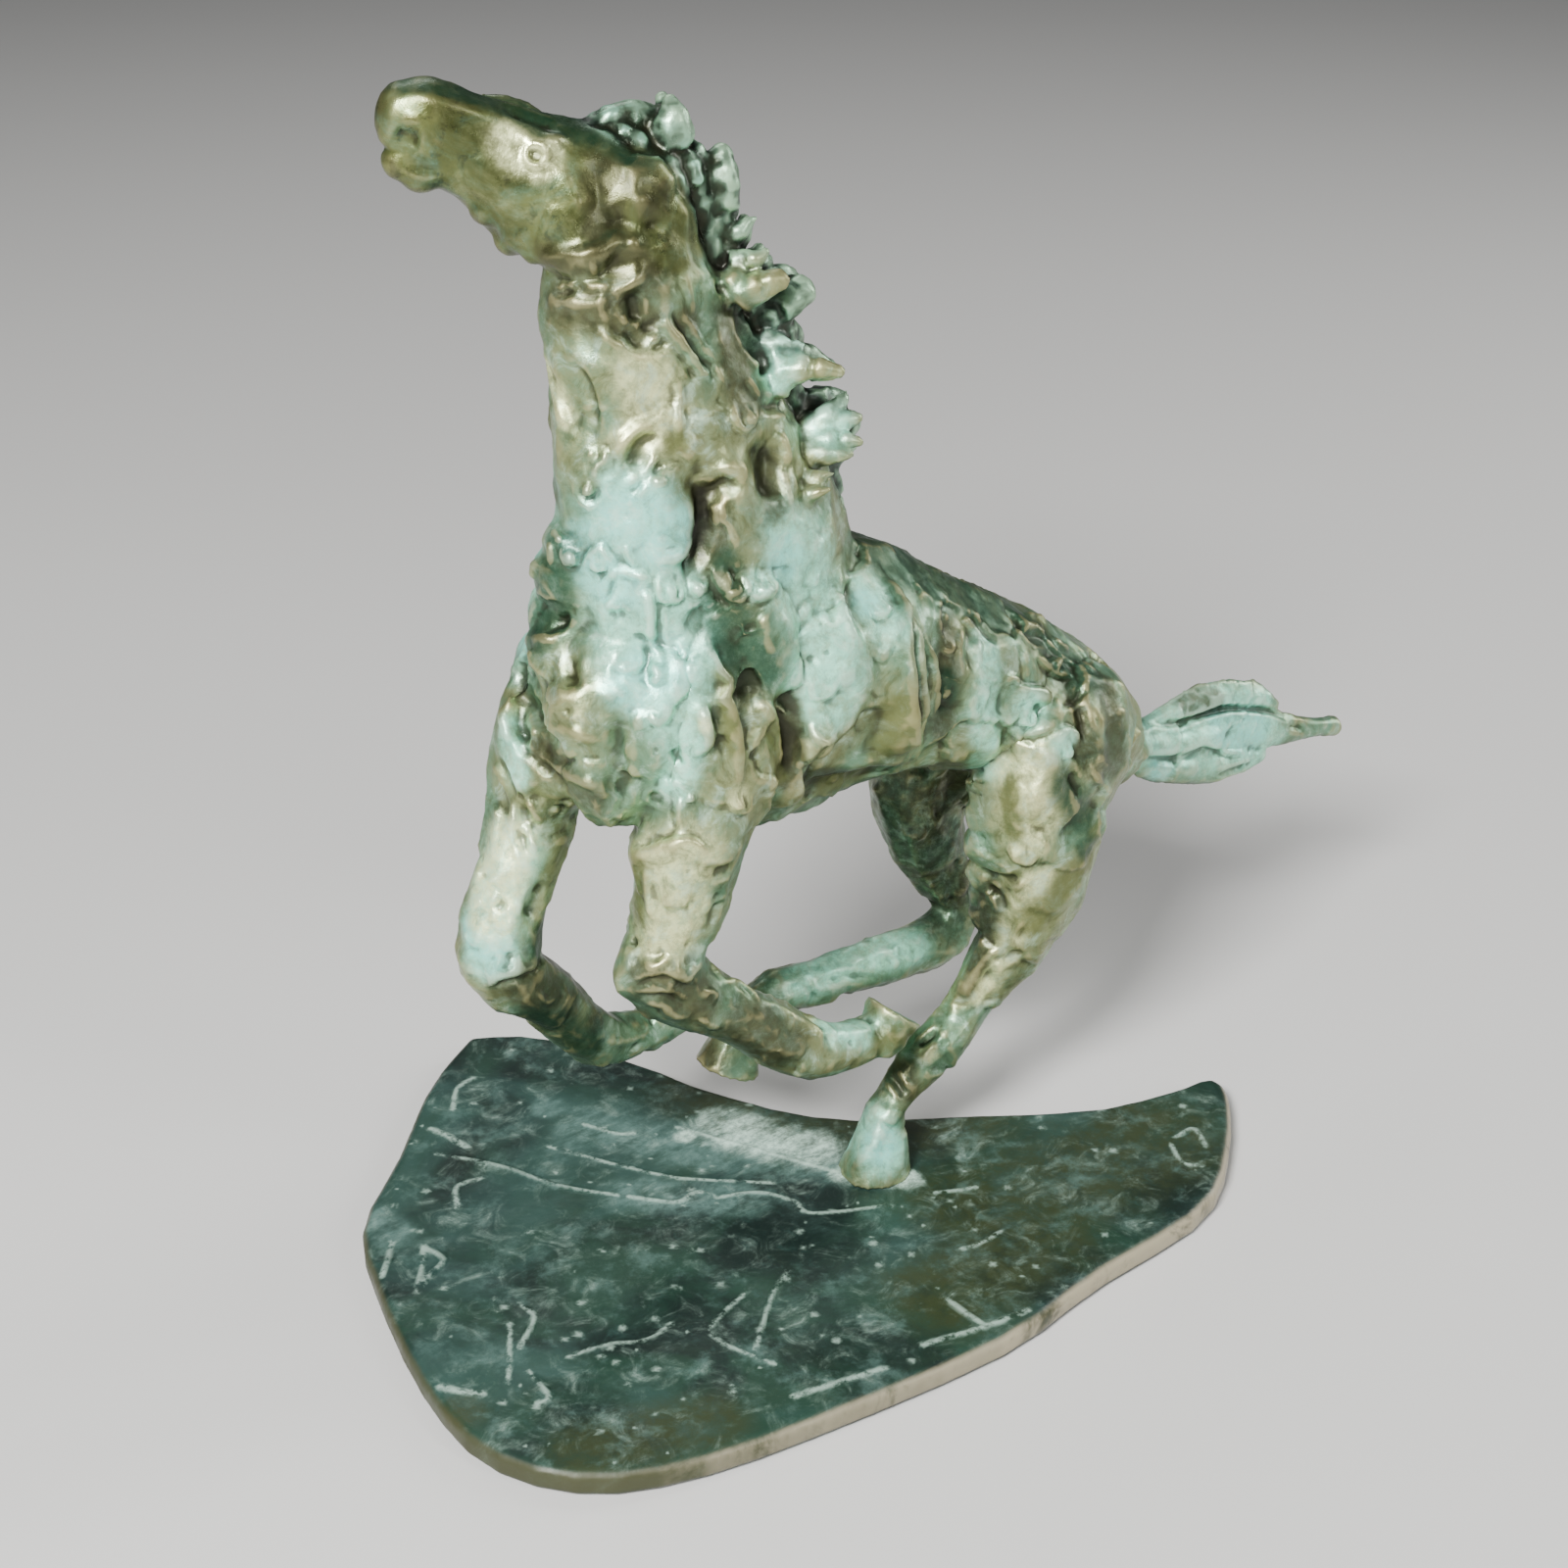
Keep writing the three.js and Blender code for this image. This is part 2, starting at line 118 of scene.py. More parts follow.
class Clay:
    """A closed skin whose points are moved, then written back to its mesh."""

    def __init__(self, mesh):
        self.mesh = mesh
        self.points = np.empty(len(mesh.vertices) * 3)
        mesh.vertices.foreach_get("co", self.points)
        self.points = self.points.reshape(-1, 3)
        self.edges = np.empty(len(mesh.edges) * 2, dtype=np.int64)
        mesh.edges.foreach_get("vertices", self.edges)
        self.edges = self.edges.reshape(-1, 2)
        mesh.calc_loop_triangles()
        self.triangles = np.empty(len(mesh.loop_triangles) * 3, dtype=np.int64)
        mesh.loop_triangles.foreach_get("vertices", self.triangles)
        self.triangles = self.triangles.reshape(-1, 3)
        self.degree = np.bincount(self.edges.ravel(), minlength=len(self.points))[:, None]

    def averaged(self, values):
        """Each point's neighbours' mean of some values, one row a point."""
        near, far = self.edges.T
        count = len(self.points)
        total = np.empty_like(values)
        for k in range(values.shape[1]):
            total[:, k] = np.bincount(near, values[far, k], count)
            total[:, k] += np.bincount(far, values[near, k], count)
        return total / self.degree

    def blurred(self, values, rounds):
        for _ in range(rounds):
            values = 0.4 * values + 0.6 * self.averaged(values)
        return values

    def relax(self, rounds):
        """Rounds off joins and facets, and then gives the bulk back what the rounding took."""
        before = self.points.copy()
        for _ in range(rounds):
            self.points += 0.6 * (self.averaged(self.points) - self.points)
            self.points -= 0.62 * (self.averaged(self.points) - self.points)
        self.points += self.blurred(before - self.points, 2 * rounds)

    def normals(self):
        a, b, c = (self.points[self.triangles[:, k]] for k in range(3))
        face = np.cross(b - a, c - a)
        total = np.zeros_like(self.points)
        for k in range(3):
            for axis in range(3):
                total[:, axis] += np.bincount(self.triangles[:, k], face[:, axis], len(total))
        return total / np.maximum(np.linalg.norm(total, axis=1, keepdims=True), 1e-12)

    def bulge(self, rounds):
        """How far each point stands out of its blurred surroundings, in metres."""
        return np.einsum("ij,ij->i", self.points - self.blurred(self.points, rounds), self.normals())

    def sharpen(self, rounds, share):
        """Crisps the fine relief: what stands out stands out more, and what is sunk sinks."""
        height = share * self.bulge(rounds)
        self.points += np.clip(height, -0.5 * MM, 0.5 * MM)[:, None] * self.normals()

    def hemmed_in(self, rays, reach):
        """How much nearby skin stands over each point, from 0 in the open to 1 deep in a recess."""
        random = np.random.default_rng(17)
        ways = random.normal(size=(rays, 3))
        ways /= np.linalg.norm(ways, axis=1, keepdims=True)
        ways = [Vector(way) for way in ways]
        surface = self.surface()
        total = np.zeros(len(self.points))
        for index, (point, normal) in enumerate(zip(self.points, self.normals())):
            out = Vector(normal)
            start = Vector(point) + 0.3 * MM * out
            for way in ways:
                unit = (way + 1.05 * out).normalized()
                distance = surface.ray_cast(start, unit, reach)[3]
                if distance is not None:
                    total[index] += 1 - distance / reach
        return self.blurred((total / rays)[:, None], 3)[:, 0]

    def surface(self):
        return BVHTree.FromPolygons(self.points.tolist(), self.triangles.tolist())

    def tree(self):
        tree = KDTree(len(self.points))
        for index, point in enumerate(self.points):
            tree.insert(point, index)
        tree.balance()
        return tree

    def write(self):
        self.mesh.vertices.foreach_set("co", self.points.ravel())
        self.mesh.update()


def copied(node):
    """A CAD node's shape in a new object."""
    piece = bpy.data.objects.new(node + "_cast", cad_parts[node].data.copy())
    bpy.context.scene.collection.objects.link(piece)
    piece.data.materials.clear()
    return piece


def remesh(piece, voxel):
    """Remakes a piece as one even skin of small quads."""
    fine = piece.modifiers.new("even", "REMESH")
    fine.mode = "VOXEL"
    fine.voxel_size = voxel
    apply_modifiers(piece)


def apply_modifiers(piece):
    graph = bpy.context.evaluated_depsgraph_get()
    mesh = bpy.data.meshes.new_from_object(piece.evaluated_get(graph))
    piece.modifiers.clear()
    piece.data = mesh


TUFT_SIDES = 8


def add_tuft(piece, path, thick, thin):
    """Joins a tapered lock with a round end to a piece's mesh, along a path from its root to its tip."""
    mesh = bmesh.new()
    mesh.from_mesh(piece.data)
    rings = []
    for step, place in enumerate(path):
        share = step / (len(path) - 1)
        before, after = path[max(step - 1, 0)], path[min(step + 1, len(path) - 1)]
        way = (after - before).normalized()
        side = way.orthogonal().normalized()
        other = way.cross(side)
        reach = thick + (thin - thick) * share
        turns = [2 * math.pi * k / TUFT_SIDES for k in range(TUFT_SIDES)]
        ring = [place + reach * (math.cos(turn) * side + math.sin(turn) * other) for turn in turns]
        rings.append([mesh.verts.new(corner) for corner in ring])
    for low, high in zip(rings, rings[1:]):
        for k in range(TUFT_SIDES):
            nearby = (k + 1) % TUFT_SIDES
            mesh.faces.new((low[k], low[nearby], high[nearby], high[k]))
    mesh.faces.new(rings[0][::-1])
    mesh.faces.new(rings[-1])
    bmesh.ops.create_icosphere(mesh, subdivisions=2, radius=thin, matrix=Matrix.Translation(path[-1]))
    mesh.to_mesh(piece.data)
    mesh.free()


def thin_out(piece, triangles):
    """Fewer triangles where the skin is plain, as many as before where it is rich."""
    piece.data.calc_loop_triangles()
    now = len(piece.data.loop_triangles)
    if now <= triangles:
        return
    fewer = piece.modifiers.new("fewer", "DECIMATE")
    fewer.ratio = triangles / now
    fewer.use_collapse_triangulate = True
    apply_modifiers(piece)


def seen_from_camera(surface, pixel):
    """The place on the skin that the photo shows at a pixel."""
    place, _, _, _ = surface.ray_cast(EYE, ray(pixel).normalized())
    return place


def across_body(place):
    """The same place on the horse's other side."""
    middle = HOOF.y + BODY_MIDDLE * PERCENT
    return Vector((place.x, 2 * middle - place.y, place.z))


def hidden_twin(surface, place):
    """The like place on the horse's other side, if the camera doesn't see it."""
    if place.z - HOOF.z > HEAD_FOOT * PERCENT:
        twin, normal, _, _ = surface.ray_cast(place + 60 * MM * HEAD_ACROSS, -HEAD_ACROSS)
    else:
        twin, normal, _, _ = surface.find_nearest(across_body(place))
    if twin is None:
        return None
    seen, _, _, _ = surface.ray_cast(EYE, (twin - EYE).normalized())
    if seen is None or (seen - twin).length < 4 * MM or normal.dot(EYE - twin) > 0:
        return None
    return twin


def percent(points):
    return (points - np.array(HOOF)) / PERCENT


# Strokes: ridges, grooves and lips along a path on the skin


def along_path(points, path):
    """For each point, its distance to the path, the side it is on and how far along it is, from 0 to 1."""
    best = np.full(len(points), np.inf)
    share = np.zeros(len(points))
    offset = np.zeros_like(points)
    heading = np.zeros_like(points)
    lengths = np.linalg.norm(np.diff(path, axis=0), axis=1)
    whole = lengths.sum()
    done = 0.0
    for start, end, length in zip(path[:-1], path[1:], lengths):
        way = (end - start) / length
        reach = np.clip((points - start) @ way, 0, length)
        gap = points - start - reach[:, None] * way
        distance = np.linalg.norm(gap, axis=1)
        closer = distance < best
        best[closer] = distance[closer]
        offset[closer] = gap[closer]
        heading[closer] = way
        share[closer] = (done + reach[closer]) / whole
        done += length
    return best, offset, heading, share


def stroke(clay, normals, path, width, height, form):
    """Models one stroke: a ridge, a groove with raised sides, or a lip that falls off on one side."""
    path = np.array(path)
    low, high = path.min(axis=0) - 3 * width, path.max(axis=0) + 3 * width
    chosen = np.flatnonzero(np.all((low < clay.points) & (clay.points < high), axis=1))
    distance, offset, heading, share = along_path(clay.points[chosen], path)
    away = distance / width
    ends = smooth_step(-0.05, 0.3, share) * smooth_step(-0.05, 0.3, 1 - share)
    if form == "ridge":
        shape = np.exp(-((1.3 * away) ** 2))
    elif form == "groove":
        shape = 0.3 * np.exp(-(((away - 1.6) / 0.5) ** 2)) - np.exp(-((1.1 * away) ** 2))
    else:
        side = np.einsum("ij,ij->i", np.cross(normals[chosen], heading), offset) / width
        shape = smooth_step(-0.3, 0.3, side) * (1 - smooth_step(0.5, 2.6, side)) * (away < 3)
    facing = normals[chosen][away < 0.7].sum(axis=0)
    facing /= np.linalg.norm(facing) + 1e-9
    same_side = smooth_step(-0.2, 0.3, normals[chosen] @ facing)
    clay.points[chosen] += (height * shape * ends * same_side)[:, None] * normals[chosen]


def smooth_path(places, steps=6):
    """A rounded path through a few places."""
    places = [Vector(place) for place in places]
    padded = [2 * places[0] - places[1], *places, 2 * places[-1] - places[-2]]
    path = []
    for before, start, end, after in zip(padded, padded[1:], padded[2:], padded[3:]):
        for step in range(steps):
            t = step / steps
            path.append(0.5 * (
                2 * start + (end - before) * t
                + (2 * before - 5 * start + 4 * end - after) * t * t
                + (3 * start - before - 3 * end + after) * t**3
            ))
    return [*path, places[-1]]


# Pads: dabs of clay pressed on and smeared, each with a lower lip


def pad(clay, normals, tree, centre, out, down, size, lift, flat):
    """Presses on one dab: it swells along its way down, ends in a lip and flattens what is under it."""
    length, width = size
    side = out.cross(down).normalized()
    down = side.cross(out).normalized()
    found = [index for _, index, _ in tree.find_range(centre, 1.3 * max(length, width))]
    found = np.array(found)
    found = found[normals[found] @ np.array(out) > 0.1]
    if len(found) == 0:
        return
    gap = clay.points[found] - np.array(centre)
    along = gap @ np.array(down) / length
    across = gap @ np.array(side) / width
    radius = (np.abs(along) ** 2.4 + np.abs(across) ** 2.4) ** (1 / 2.4)
    foot = smooth_step(0.1, 0.8, along / np.maximum(radius, 1e-6))
    edge = 1 - smooth_step(0.3 + 0.52 * foot, 1.06, radius)
    swell = smooth_step(-1.1, 0.8, along)
    height = gap @ np.array(out)
    level = np.median(height)
    move = edge * (lift * swell + flat * (level - height))
    clay.points[found] += move[:, None] * np.array(out)


def press_facets(clay, seed, spacing, flat, most, tilt, weight):
    """Works the skin into planes as a thumb does: each point goes towards its nearest facet's plane."""
    random = np.random.default_rng(seed)
    normals = clay.blurred(clay.normals(), 10)
    normals /= np.linalg.norm(normals, axis=1, keepdims=True)
    centres = KDTree(len(clay.points))
    kept = []
    covered = np.zeros(len(clay.points), dtype=bool)
    tree = clay.tree()
    for index in random.permutation(len(clay.points)):
        if covered[index]:
            continue
        centres.insert(clay.points[index], len(kept))
        kept.append(index)
        reach = spacing * random.uniform(0.6, 1.3)
        covered[[near for _, near, _ in tree.find_range(clay.points[index], reach)]] = True
    centres.balance()
    kept = np.array(kept)
    warp = np.stack([fractal(clay.points, 90, 2, seed + k) for k in range(3)], axis=1) * 0.25 * spacing
    nearest = np.array([centres.find(point)[1] for point in clay.points + warp])
    chosen = kept[nearest]
    facing = normals[kept] + random.normal(0, tilt, (len(kept), 3))
    facing /= np.linalg.norm(facing, axis=1, keepdims=True)
    facing = facing[nearest]
    gap = np.einsum("ij,ij->i", clay.points[chosen] - clay.points, facing)
    move = np.clip(flat * gap, -most, most) * weight
    clay.points += move[:, None] * facing


def press_pads(clay, seed, count, sizes, lifts, flat, weight):
    """Scatters dabs over the skin, smeared mostly downwards, more strongly where weight is high."""
    random = np.random.default_rng(seed)
    tree = clay.tree()
    normals = clay.blurred(clay.normals(), 6)
    chances = weight / weight.sum()
    for index in random.choice(len(clay.points), count, replace=False, p=chances):
        out = Vector(normals[index]).normalized()
        tilt = Matrix.Rotation(random.normal(0, 0.5), 3, out)
        down = tilt @ (Vector((0.1, 0, -1)) - out * out.dot(Vector((0.1, 0, -1))))
        if down.length < 0.15:
            down = tilt @ out.orthogonal()
        length = random.uniform(*sizes)
        size = (length, length * random.uniform(0.45, 0.9))
        lift = random.uniform(*lifts) * weight[index]
        pad(clay, normals, tree, Vector(clay.points[index]), out, down, size, lift, flat * weight[index])


# Regions of the figure, as soft masks from 0 to 1


def capsule(points, start, end, radius, soft):
    """1 inside a capsule given in percent, fading to 0 over soft percent outside it."""
    start, end = np.array(start), np.array(end)
    way = end - start
    share = np.clip((points - start) @ way / (way @ way), 0, 1)
    distance = np.linalg.norm(points - start - share[:, None] * way, axis=1)
    return 1 - smooth_step(radius, radius + soft, distance)


def head_mask(points):
    return capsule(points, (-20.5, 6.2, 89.5), (-35.5, 13.2, 97.2), 6.2, 1.6)


def mane_mask(points):
    upper = capsule(points, (-16.5, 5.4, 95.5), (-10.5, 4.2, 84.0), 3.4, 1.2)
    middle = capsule(points, (-9.5, 3.6, 82.5), (-4.5, 3.6, 75.0), 4.0, 1.2)
    lower = capsule(points, (-3.6, 3.4, 72.5), (-2.0, 3.5, 65.5), 3.4, 1.2)
    forelock = capsule(points, (-20.5, 7.2, 95.2), (-16.6, 5.8, 96.5), 2.4, 1.0)
    return np.maximum.reduce([upper, middle, lower, forelock])


# Features on the side that the photo shows: (form, width and height in mm, path as x,y pairs by pixel).
# A lip stands up sharply along its path and falls off gently on one side of it.

# The broad forms: deep valleys, swelling muscles and edges that stand over what is behind them
FORM_STROKES = [
    ("lip", 4.4, 1.8,  # the jaw over the throat
     "500,222 512,240 530,256 546,264 562,272 580,276 600,276 618,268 630,252 636,236"),
    ("groove", 3.2, 2.2, "556,281 580,285 602,285 622,277 637,263 645,248"),
    ("ridge", 3.4, 0.9, "392,100 420,98 450,105 499,117 530,134 568,142"),  # top of the nose
    ("groove", 8.0, 3.6, "748,622 756,650 766,690 778,735"),  # between the breast and the shoulder
    ("groove", 5.0, 1.9, "634,700 633,745 631,770 630,795 632,826 635,870"),  # parting of the breast
    ("groove", 5.0, 1.3, "537,655 535,700 543,735 552,775 562,815"),
    ("groove", 5.0, 2.4, "800,690 803,735 805,770 800,805"),
    ("ridge", 10.0, 2.0, "575,690 585,735 600,775"),
    ("ridge", 11.0, 1.8, "680,640 690,700 690,760 685,820"),
    ("ridge", 14.0, 2.0, "850,600 862,660 860,720"),
    ("lip", 6.0, 2.6, "802,826 815,797 822,775 845,757 866,735 880,700"),  # shoulder over the belly
    ("lip", 6.0, 3.0, "930,775 938,745 938,706 934,672 931,645 924,618 903,586"),  # end of the ribs
    ("groove", 7.0, 2.0, "958,630 964,690 962,750"),
    ("ridge", 4.0, 1.2, "1078,700 1072,750 1060,800 1040,850"),
    ("ridge", 4.0, 1.2, "1105,700 1118,760 1110,820"),
    ("groove", 4.0, 1.2, "1096,700 1098,760 1080,815 1062,850"),
    ("ridge", 10.0, 1.6, "1050,700 1062,770 1060,850"),
    ("groove", 5.0, 2.4, "704,462 714,506 716,535 711,560 702,604"),  # foot of the neck
    ("groove", 5.0, 2.4, "774,440 780,478 788,515"),
    ("groove", 5.0, 1.6, "640,290 655,330 668,352"),
    ("ridge", 8.0, 1.5, "655,470 665,520 660,560"),
    ("ridge", 8.0, 1.5, "748,450 752,480 765,540 790,580"),
    ("groove", 6.0, 2.4, "805,815 860,818 915,788"),
    ("groove", 4.5, 1.0, "1075,845 1100,840 1125,815"),
]

HEAD_STROKES = [
    ("groove", 2.4, 1.2, "384,136 400,134 412,140 431,144"),  # mouth
    ("ridge", 2.0, 0.6, "524,143 545,141 562,143 577,147"),  # brow
    ("groove", 4.0, 1.5, "604,150 614,190 618,225 612,255"),  # back of the cheek
    ("groove", 1.8, 0.9, "497,95 512,110 542,121 572,131"),  # beside the forehead
    ("groove", 3.0, 1.1, "625,205 636,223 652,229 668,228 682,218"),  # under the ear
    ("ridge", 1.6, 0.5, "404,172 431,180 462,180"),  # chin
    ("ridge", 2.4, 0.5, "583,210 597,205 608,197"),
]

NECK_STROKES = [
    ("lip", 2.0, 0.9, "560,288 571,297 583,293 594,289 603,296 616,297 624,290 630,281"),  # collar
    ("groove", 1.5, 0.9, "648,300 648,315 649,331"),
    ("groove", 1.2, 0.6, "624,298 622,312 624,325"),
    ("groove", 1.6, 0.8, "610,329 622,331 630,338 640,342 648,350 661,354 671,355"),
    ("groove", 1.2, 0.7, "664,357 675,352 677,340"),
    ("ridge", 1.8, 0.9, "558,342 562,375 571,416 583,447"),
    ("lip", 2.0, 1.0, "577,374 589,371 600,381 611,406 613,430 608,452"),  # hollow
    ("ridge", 1.5, 1.1, "612,455 618,467 609,478 606,492"),  # hooked drip
    ("groove", 1.1, 0.7, "590,491 593,503 601,509 609,503 612,491"),
    ("ridge", 2.2, 1.1, "627,470 630,456 640,445 652,437 664,437 678,444"),
    ("groove", 2.4, 1.2, "637,479 648,466 658,452 667,446 677,449"),
    ("ridge", 1.4, 0.7, "675,367 688,382 693,402 693,425 692,445 693,462"),
    ("groove", 1.1, 0.6, "694,356 704,375 712,388"),
    ("groove", 1.4, 0.9, "684,301 688,315 692,330 700,341 716,366 726,378 726,389"),
    ("lip", 1.6, 0.8, "725,388 724,379 712,362 696,340 688,324"),
    ("ridge", 1.1, 0.6, "725,371 733,383 739,394"),
    ("ridge", 1.8, 0.7, "696,272 703,300 708,326"),
    ("groove", 2.2, 1.4, "752,316 757,338 768,356 776,368 779,394"),  # under the mane
    ("lip", 1.4, 1.0, "745,406 746,428 751,437 758,441 767,436 775,415"),
    ("ridge", 1.3, 0.7, "761,383 768,396 774,408"),
    ("groove", 2.6, 1.0, "708,488 714,506 716,527 712,547 704,568 698,586 701,604"),
    ("lip", 3.0, 1.2, "698,604 697,574 705,545 709,520 706,490"),
    ("groove", 2.4, 1.0, "721,510 731,498 745,495 757,503"),
    ("lip", 2.0, 0.8, "716,503 729,492 745,488 761,497"),
    ("ridge", 1.2, 0.9, "726,511 729,524 733,538"),
    ("ridge", 1.2, 0.9, "735,510 739,527 746,541 752,562"),
    ("groove", 4.0, 0.8, "774,448 779,478 786,505 790,524"),
    ("ridge", 1.4, 0.9, "797,476 801,490 804,505 808,522"),
    ("ridge", 1.6, 0.9, "794,440 800,454 802,466 798,478"),
    ("groove", 1.6, 1.0, "774,412 786,414 800,411"),
    ("ridge", 1.1, 0.7, "665,488 673,493 681,491"),
    ("groove", 1.0, 0.6, "665,484 669,478 676,473"),
    ("groove", 1.0, 0.5, "640,504 650,497 659,488"),
    ("ridge", 1.0, 0.5, "639,553 641,567 650,581"),
    ("ridge", 3.5, 0.9, "716,440 704,455 692,472"),
    ("groove", 4.0, 1.0, "640,290 655,330 668,352"),
]

CHEST_STROKES = [
    ("groove", 4.5, 1.2, "746,626 754,655 764,690 770,725"),
    ("groove", 2.2, 0.9, "632,722 632,745 631,770 630,795 632,826 635,862"),
    ("ridge", 9.0, 1.2, "560,690 575,740 600,780"),
    ("groove", 4.0, 0.6, "540,662 537,700 544,735 552,775"),
    ("groove", 3.4, 1.4, "800,700 802,735 804,770 800,800"),
    ("ridge", 14.0, 1.4, "860,620 870,690 860,750"),
    ("lip", 1.8, 1.0, "632,581 622,564 613,556 601,563 591,583"),
    ("lip", 1.4, 0.9, "571,551 572,566 578,577 590,575 594,560"),
    ("ridge", 1.1, 0.7, "564,541 569,547 573,554"),
    ("ridge", 1.9, 1.0, "552,550 549,570 546,592"),
    ("ridge", 1.1, 0.8, "561,551 563,565 562,578"),
    ("ridge", 2.0, 1.1, "535,654 555,652 573,649 590,632 594,610 598,600"),
    ("ridge", 1.4, 0.7, "613,594 632,584 656,589 667,597"),
    ("lip", 1.6, 1.1, "672,582 668,599 672,613 684,615 696,611 700,596"),
    ("groove", 1.0, 0.8, "677,609 686,608 694,605"),
    ("lip", 1.4, 1.0, "703,586 704,602 712,609 721,602 723,588"),
    ("ridge", 1.0, 0.6, "718,621 725,617 731,612"),
    ("lip", 1.8, 1.3, "724,568 726,588 732,603 744,614 758,614 763,598 757,578"),
    ("lip", 1.8, 1.3, "760,582 761,602 772,614 788,608 794,590"),
    ("ridge", 1.6, 0.7, "703,544 694,563 680,568 665,573"),
    ("ridge", 2.2, 1.1, "662,601 663,630 664,660"),
    ("groove", 1.1, 0.7, "669,608 671,640 673,655 681,664"),
    ("groove", 2.4, 0.8, "654,658 656,680 658,706"),
    ("ridge", 1.3, 0.8, "663,676 670,689 663,699"),
    ("ridge", 3.5, 0.9, "622,698 622,720 620,740"),
    ("ridge", 1.1, 0.7, "663,727 669,737 675,742"),
    ("groove", 1.1, 0.7, "687,763 692,773 697,782"),
    ("lip", 1.7, 1.1, "744,805 744,822 753,831 765,825 769,807"),
    ("ridge", 2.0, 1.3, "715,714 720,740 725,768"),
    ("groove", 1.8, 0.8, "731,712 733,745 735,775"),
    ("ridge", 2.2, 1.7, "722,640 724,660 731,680 741,695 738,712 745,730 751,752 753,785 751,814"),
    ("ridge", 2.0, 1.4, "775,694 779,720 790,743 794,765 798,792"),
    ("ridge", 1.0, 0.7, "840,613 848,606 855,615 855,631 847,639 840,630 840,613"),
    ("ridge", 1.5, 0.7, "780,625 782,653 791,669"),
    ("ridge", 1.3, 1.1, "823,736 833,749 843,755 852,748"),
    ("lip", 2.6, 1.6, "806,824 817,796 821,775 843,758 860,739"),  # skin of the shoulder over the belly
    ("lip", 2.6, 1.1, "879,664 864,635 862,602 867,582"),
    ("ridge", 1.7, 0.8, "854,611 864,640 879,660"),
    ("groove", 1.0, 0.6, "875,679 878,688 877,697"),
    ("groove", 1.2, 0.5, "881,705 888,707 895,714"),
    ("groove", 2.0, 1.0, "585,663 584,690 588,714"),
    ("groove", 2.4, 1.4, "528,698 536,714 548,728 561,742"),
    ("ridge", 1.8, 1.1, "514,718 517,740 522,758"),
    ("groove", 2.0, 1.1, "526,720 531,740 536,762"),
    ("groove", 1.6, 0.9, "503,762 514,786 526,815 536,834 550,849"),
    ("ridge", 2.6, 1.4, "538,763 568,778 601,797 630,814"),
    ("groove", 2.2, 1.2, "555,750 583,758 606,772"),
    ("groove", 1.3, 0.9, "529,822 532,851 541,882"),
    ("groove", 1.3, 0.9, "528,820 539,839 552,849"),
]

SIDE_STROKES = [
    ("ridge", 2.2, 1.0, "901,588 914,607 929,633"),
    ("groove", 2.6, 0.8, "869,590 871,623 884,649"),
    ("lip", 4.0, 1.6, "930,770 936,745 936,706 932,672 930,645 924,618 905,588"),  # end of the ribs
    ("groove", 1.9, 1.3, "932,640 935,670 938,700 943,730 937,770"),
    ("ridge", 1.5, 1.5, "942,648 948,668 953,692 953,732"),
    ("groove", 1.8, 1.1, "983,632 990,645 990,665 995,692"),
    ("ridge", 1.4, 1.0, "982,629 987,636 993,644"),
    ("ridge", 4.6, 0.8, "1004,653 1009,690 1004,730 1007,770 1002,808"),
    ("ridge", 1.8, 1.0, "997,705 991,720 994,738"),
    ("groove", 1.6, 0.6, "1026,694 1020,725 1021,753 1023,777"),
    ("ridge", 5.0, 1.0, "960,760 978,772 992,790"),
    ("ridge", 10.0, 1.2, "1050,700 1062,770 1060,850"),
    ("lip", 2.0, 1.3, "1074,732 1069,707 1050,700 1030,699"),
    ("lip", 2.0, 1.2, "1028,742 1039,754 1062,750 1079,739"),
    ("ridge", 1.2, 0.9, "1025,695 1032,692 1041,697"),
    ("ridge", 1.4, 1.0, "1031,756 1045,760 1057,767"),
    ("lip", 1.8, 1.1, "1106,760 1096,745 1084,741 1069,752"),
    ("ridge", 1.8, 0.9, "1085,772 1096,782 1105,797"),
    ("ridge", 1.5, 0.9, "1110,776 1118,792 1133,809"),
    ("lip", 1.8, 1.2, "1053,663 1061,678 1070,687 1084,692 1099,690"),
    ("ridge", 1.2, 0.7, "1056,672 1070,678 1087,672"),
    ("ridge", 1.7, 1.0, "1046,628 1058,630 1069,638"),
    ("ridge", 1.7, 1.0, "1072,649 1080,658 1090,662"),
    ("ridge", 1.3, 0.8, "1101,674 1110,681 1119,684"),
    ("groove", 2.0, 1.3, "1022,616 1036,632 1049,645 1069,652"),
    ("groove", 1.6, 0.9, "984,622 1002,640 1019,656"),
    ("ridge", 5.0, 0.9, "915,725 925,745 905,770"),
    ("groove", 1.6, 0.8, "1096,712 1102,730 1108,752"),
    ("groove", 4.5, 1.2, "805,812 860,815 915,785"),  # under the belly
]

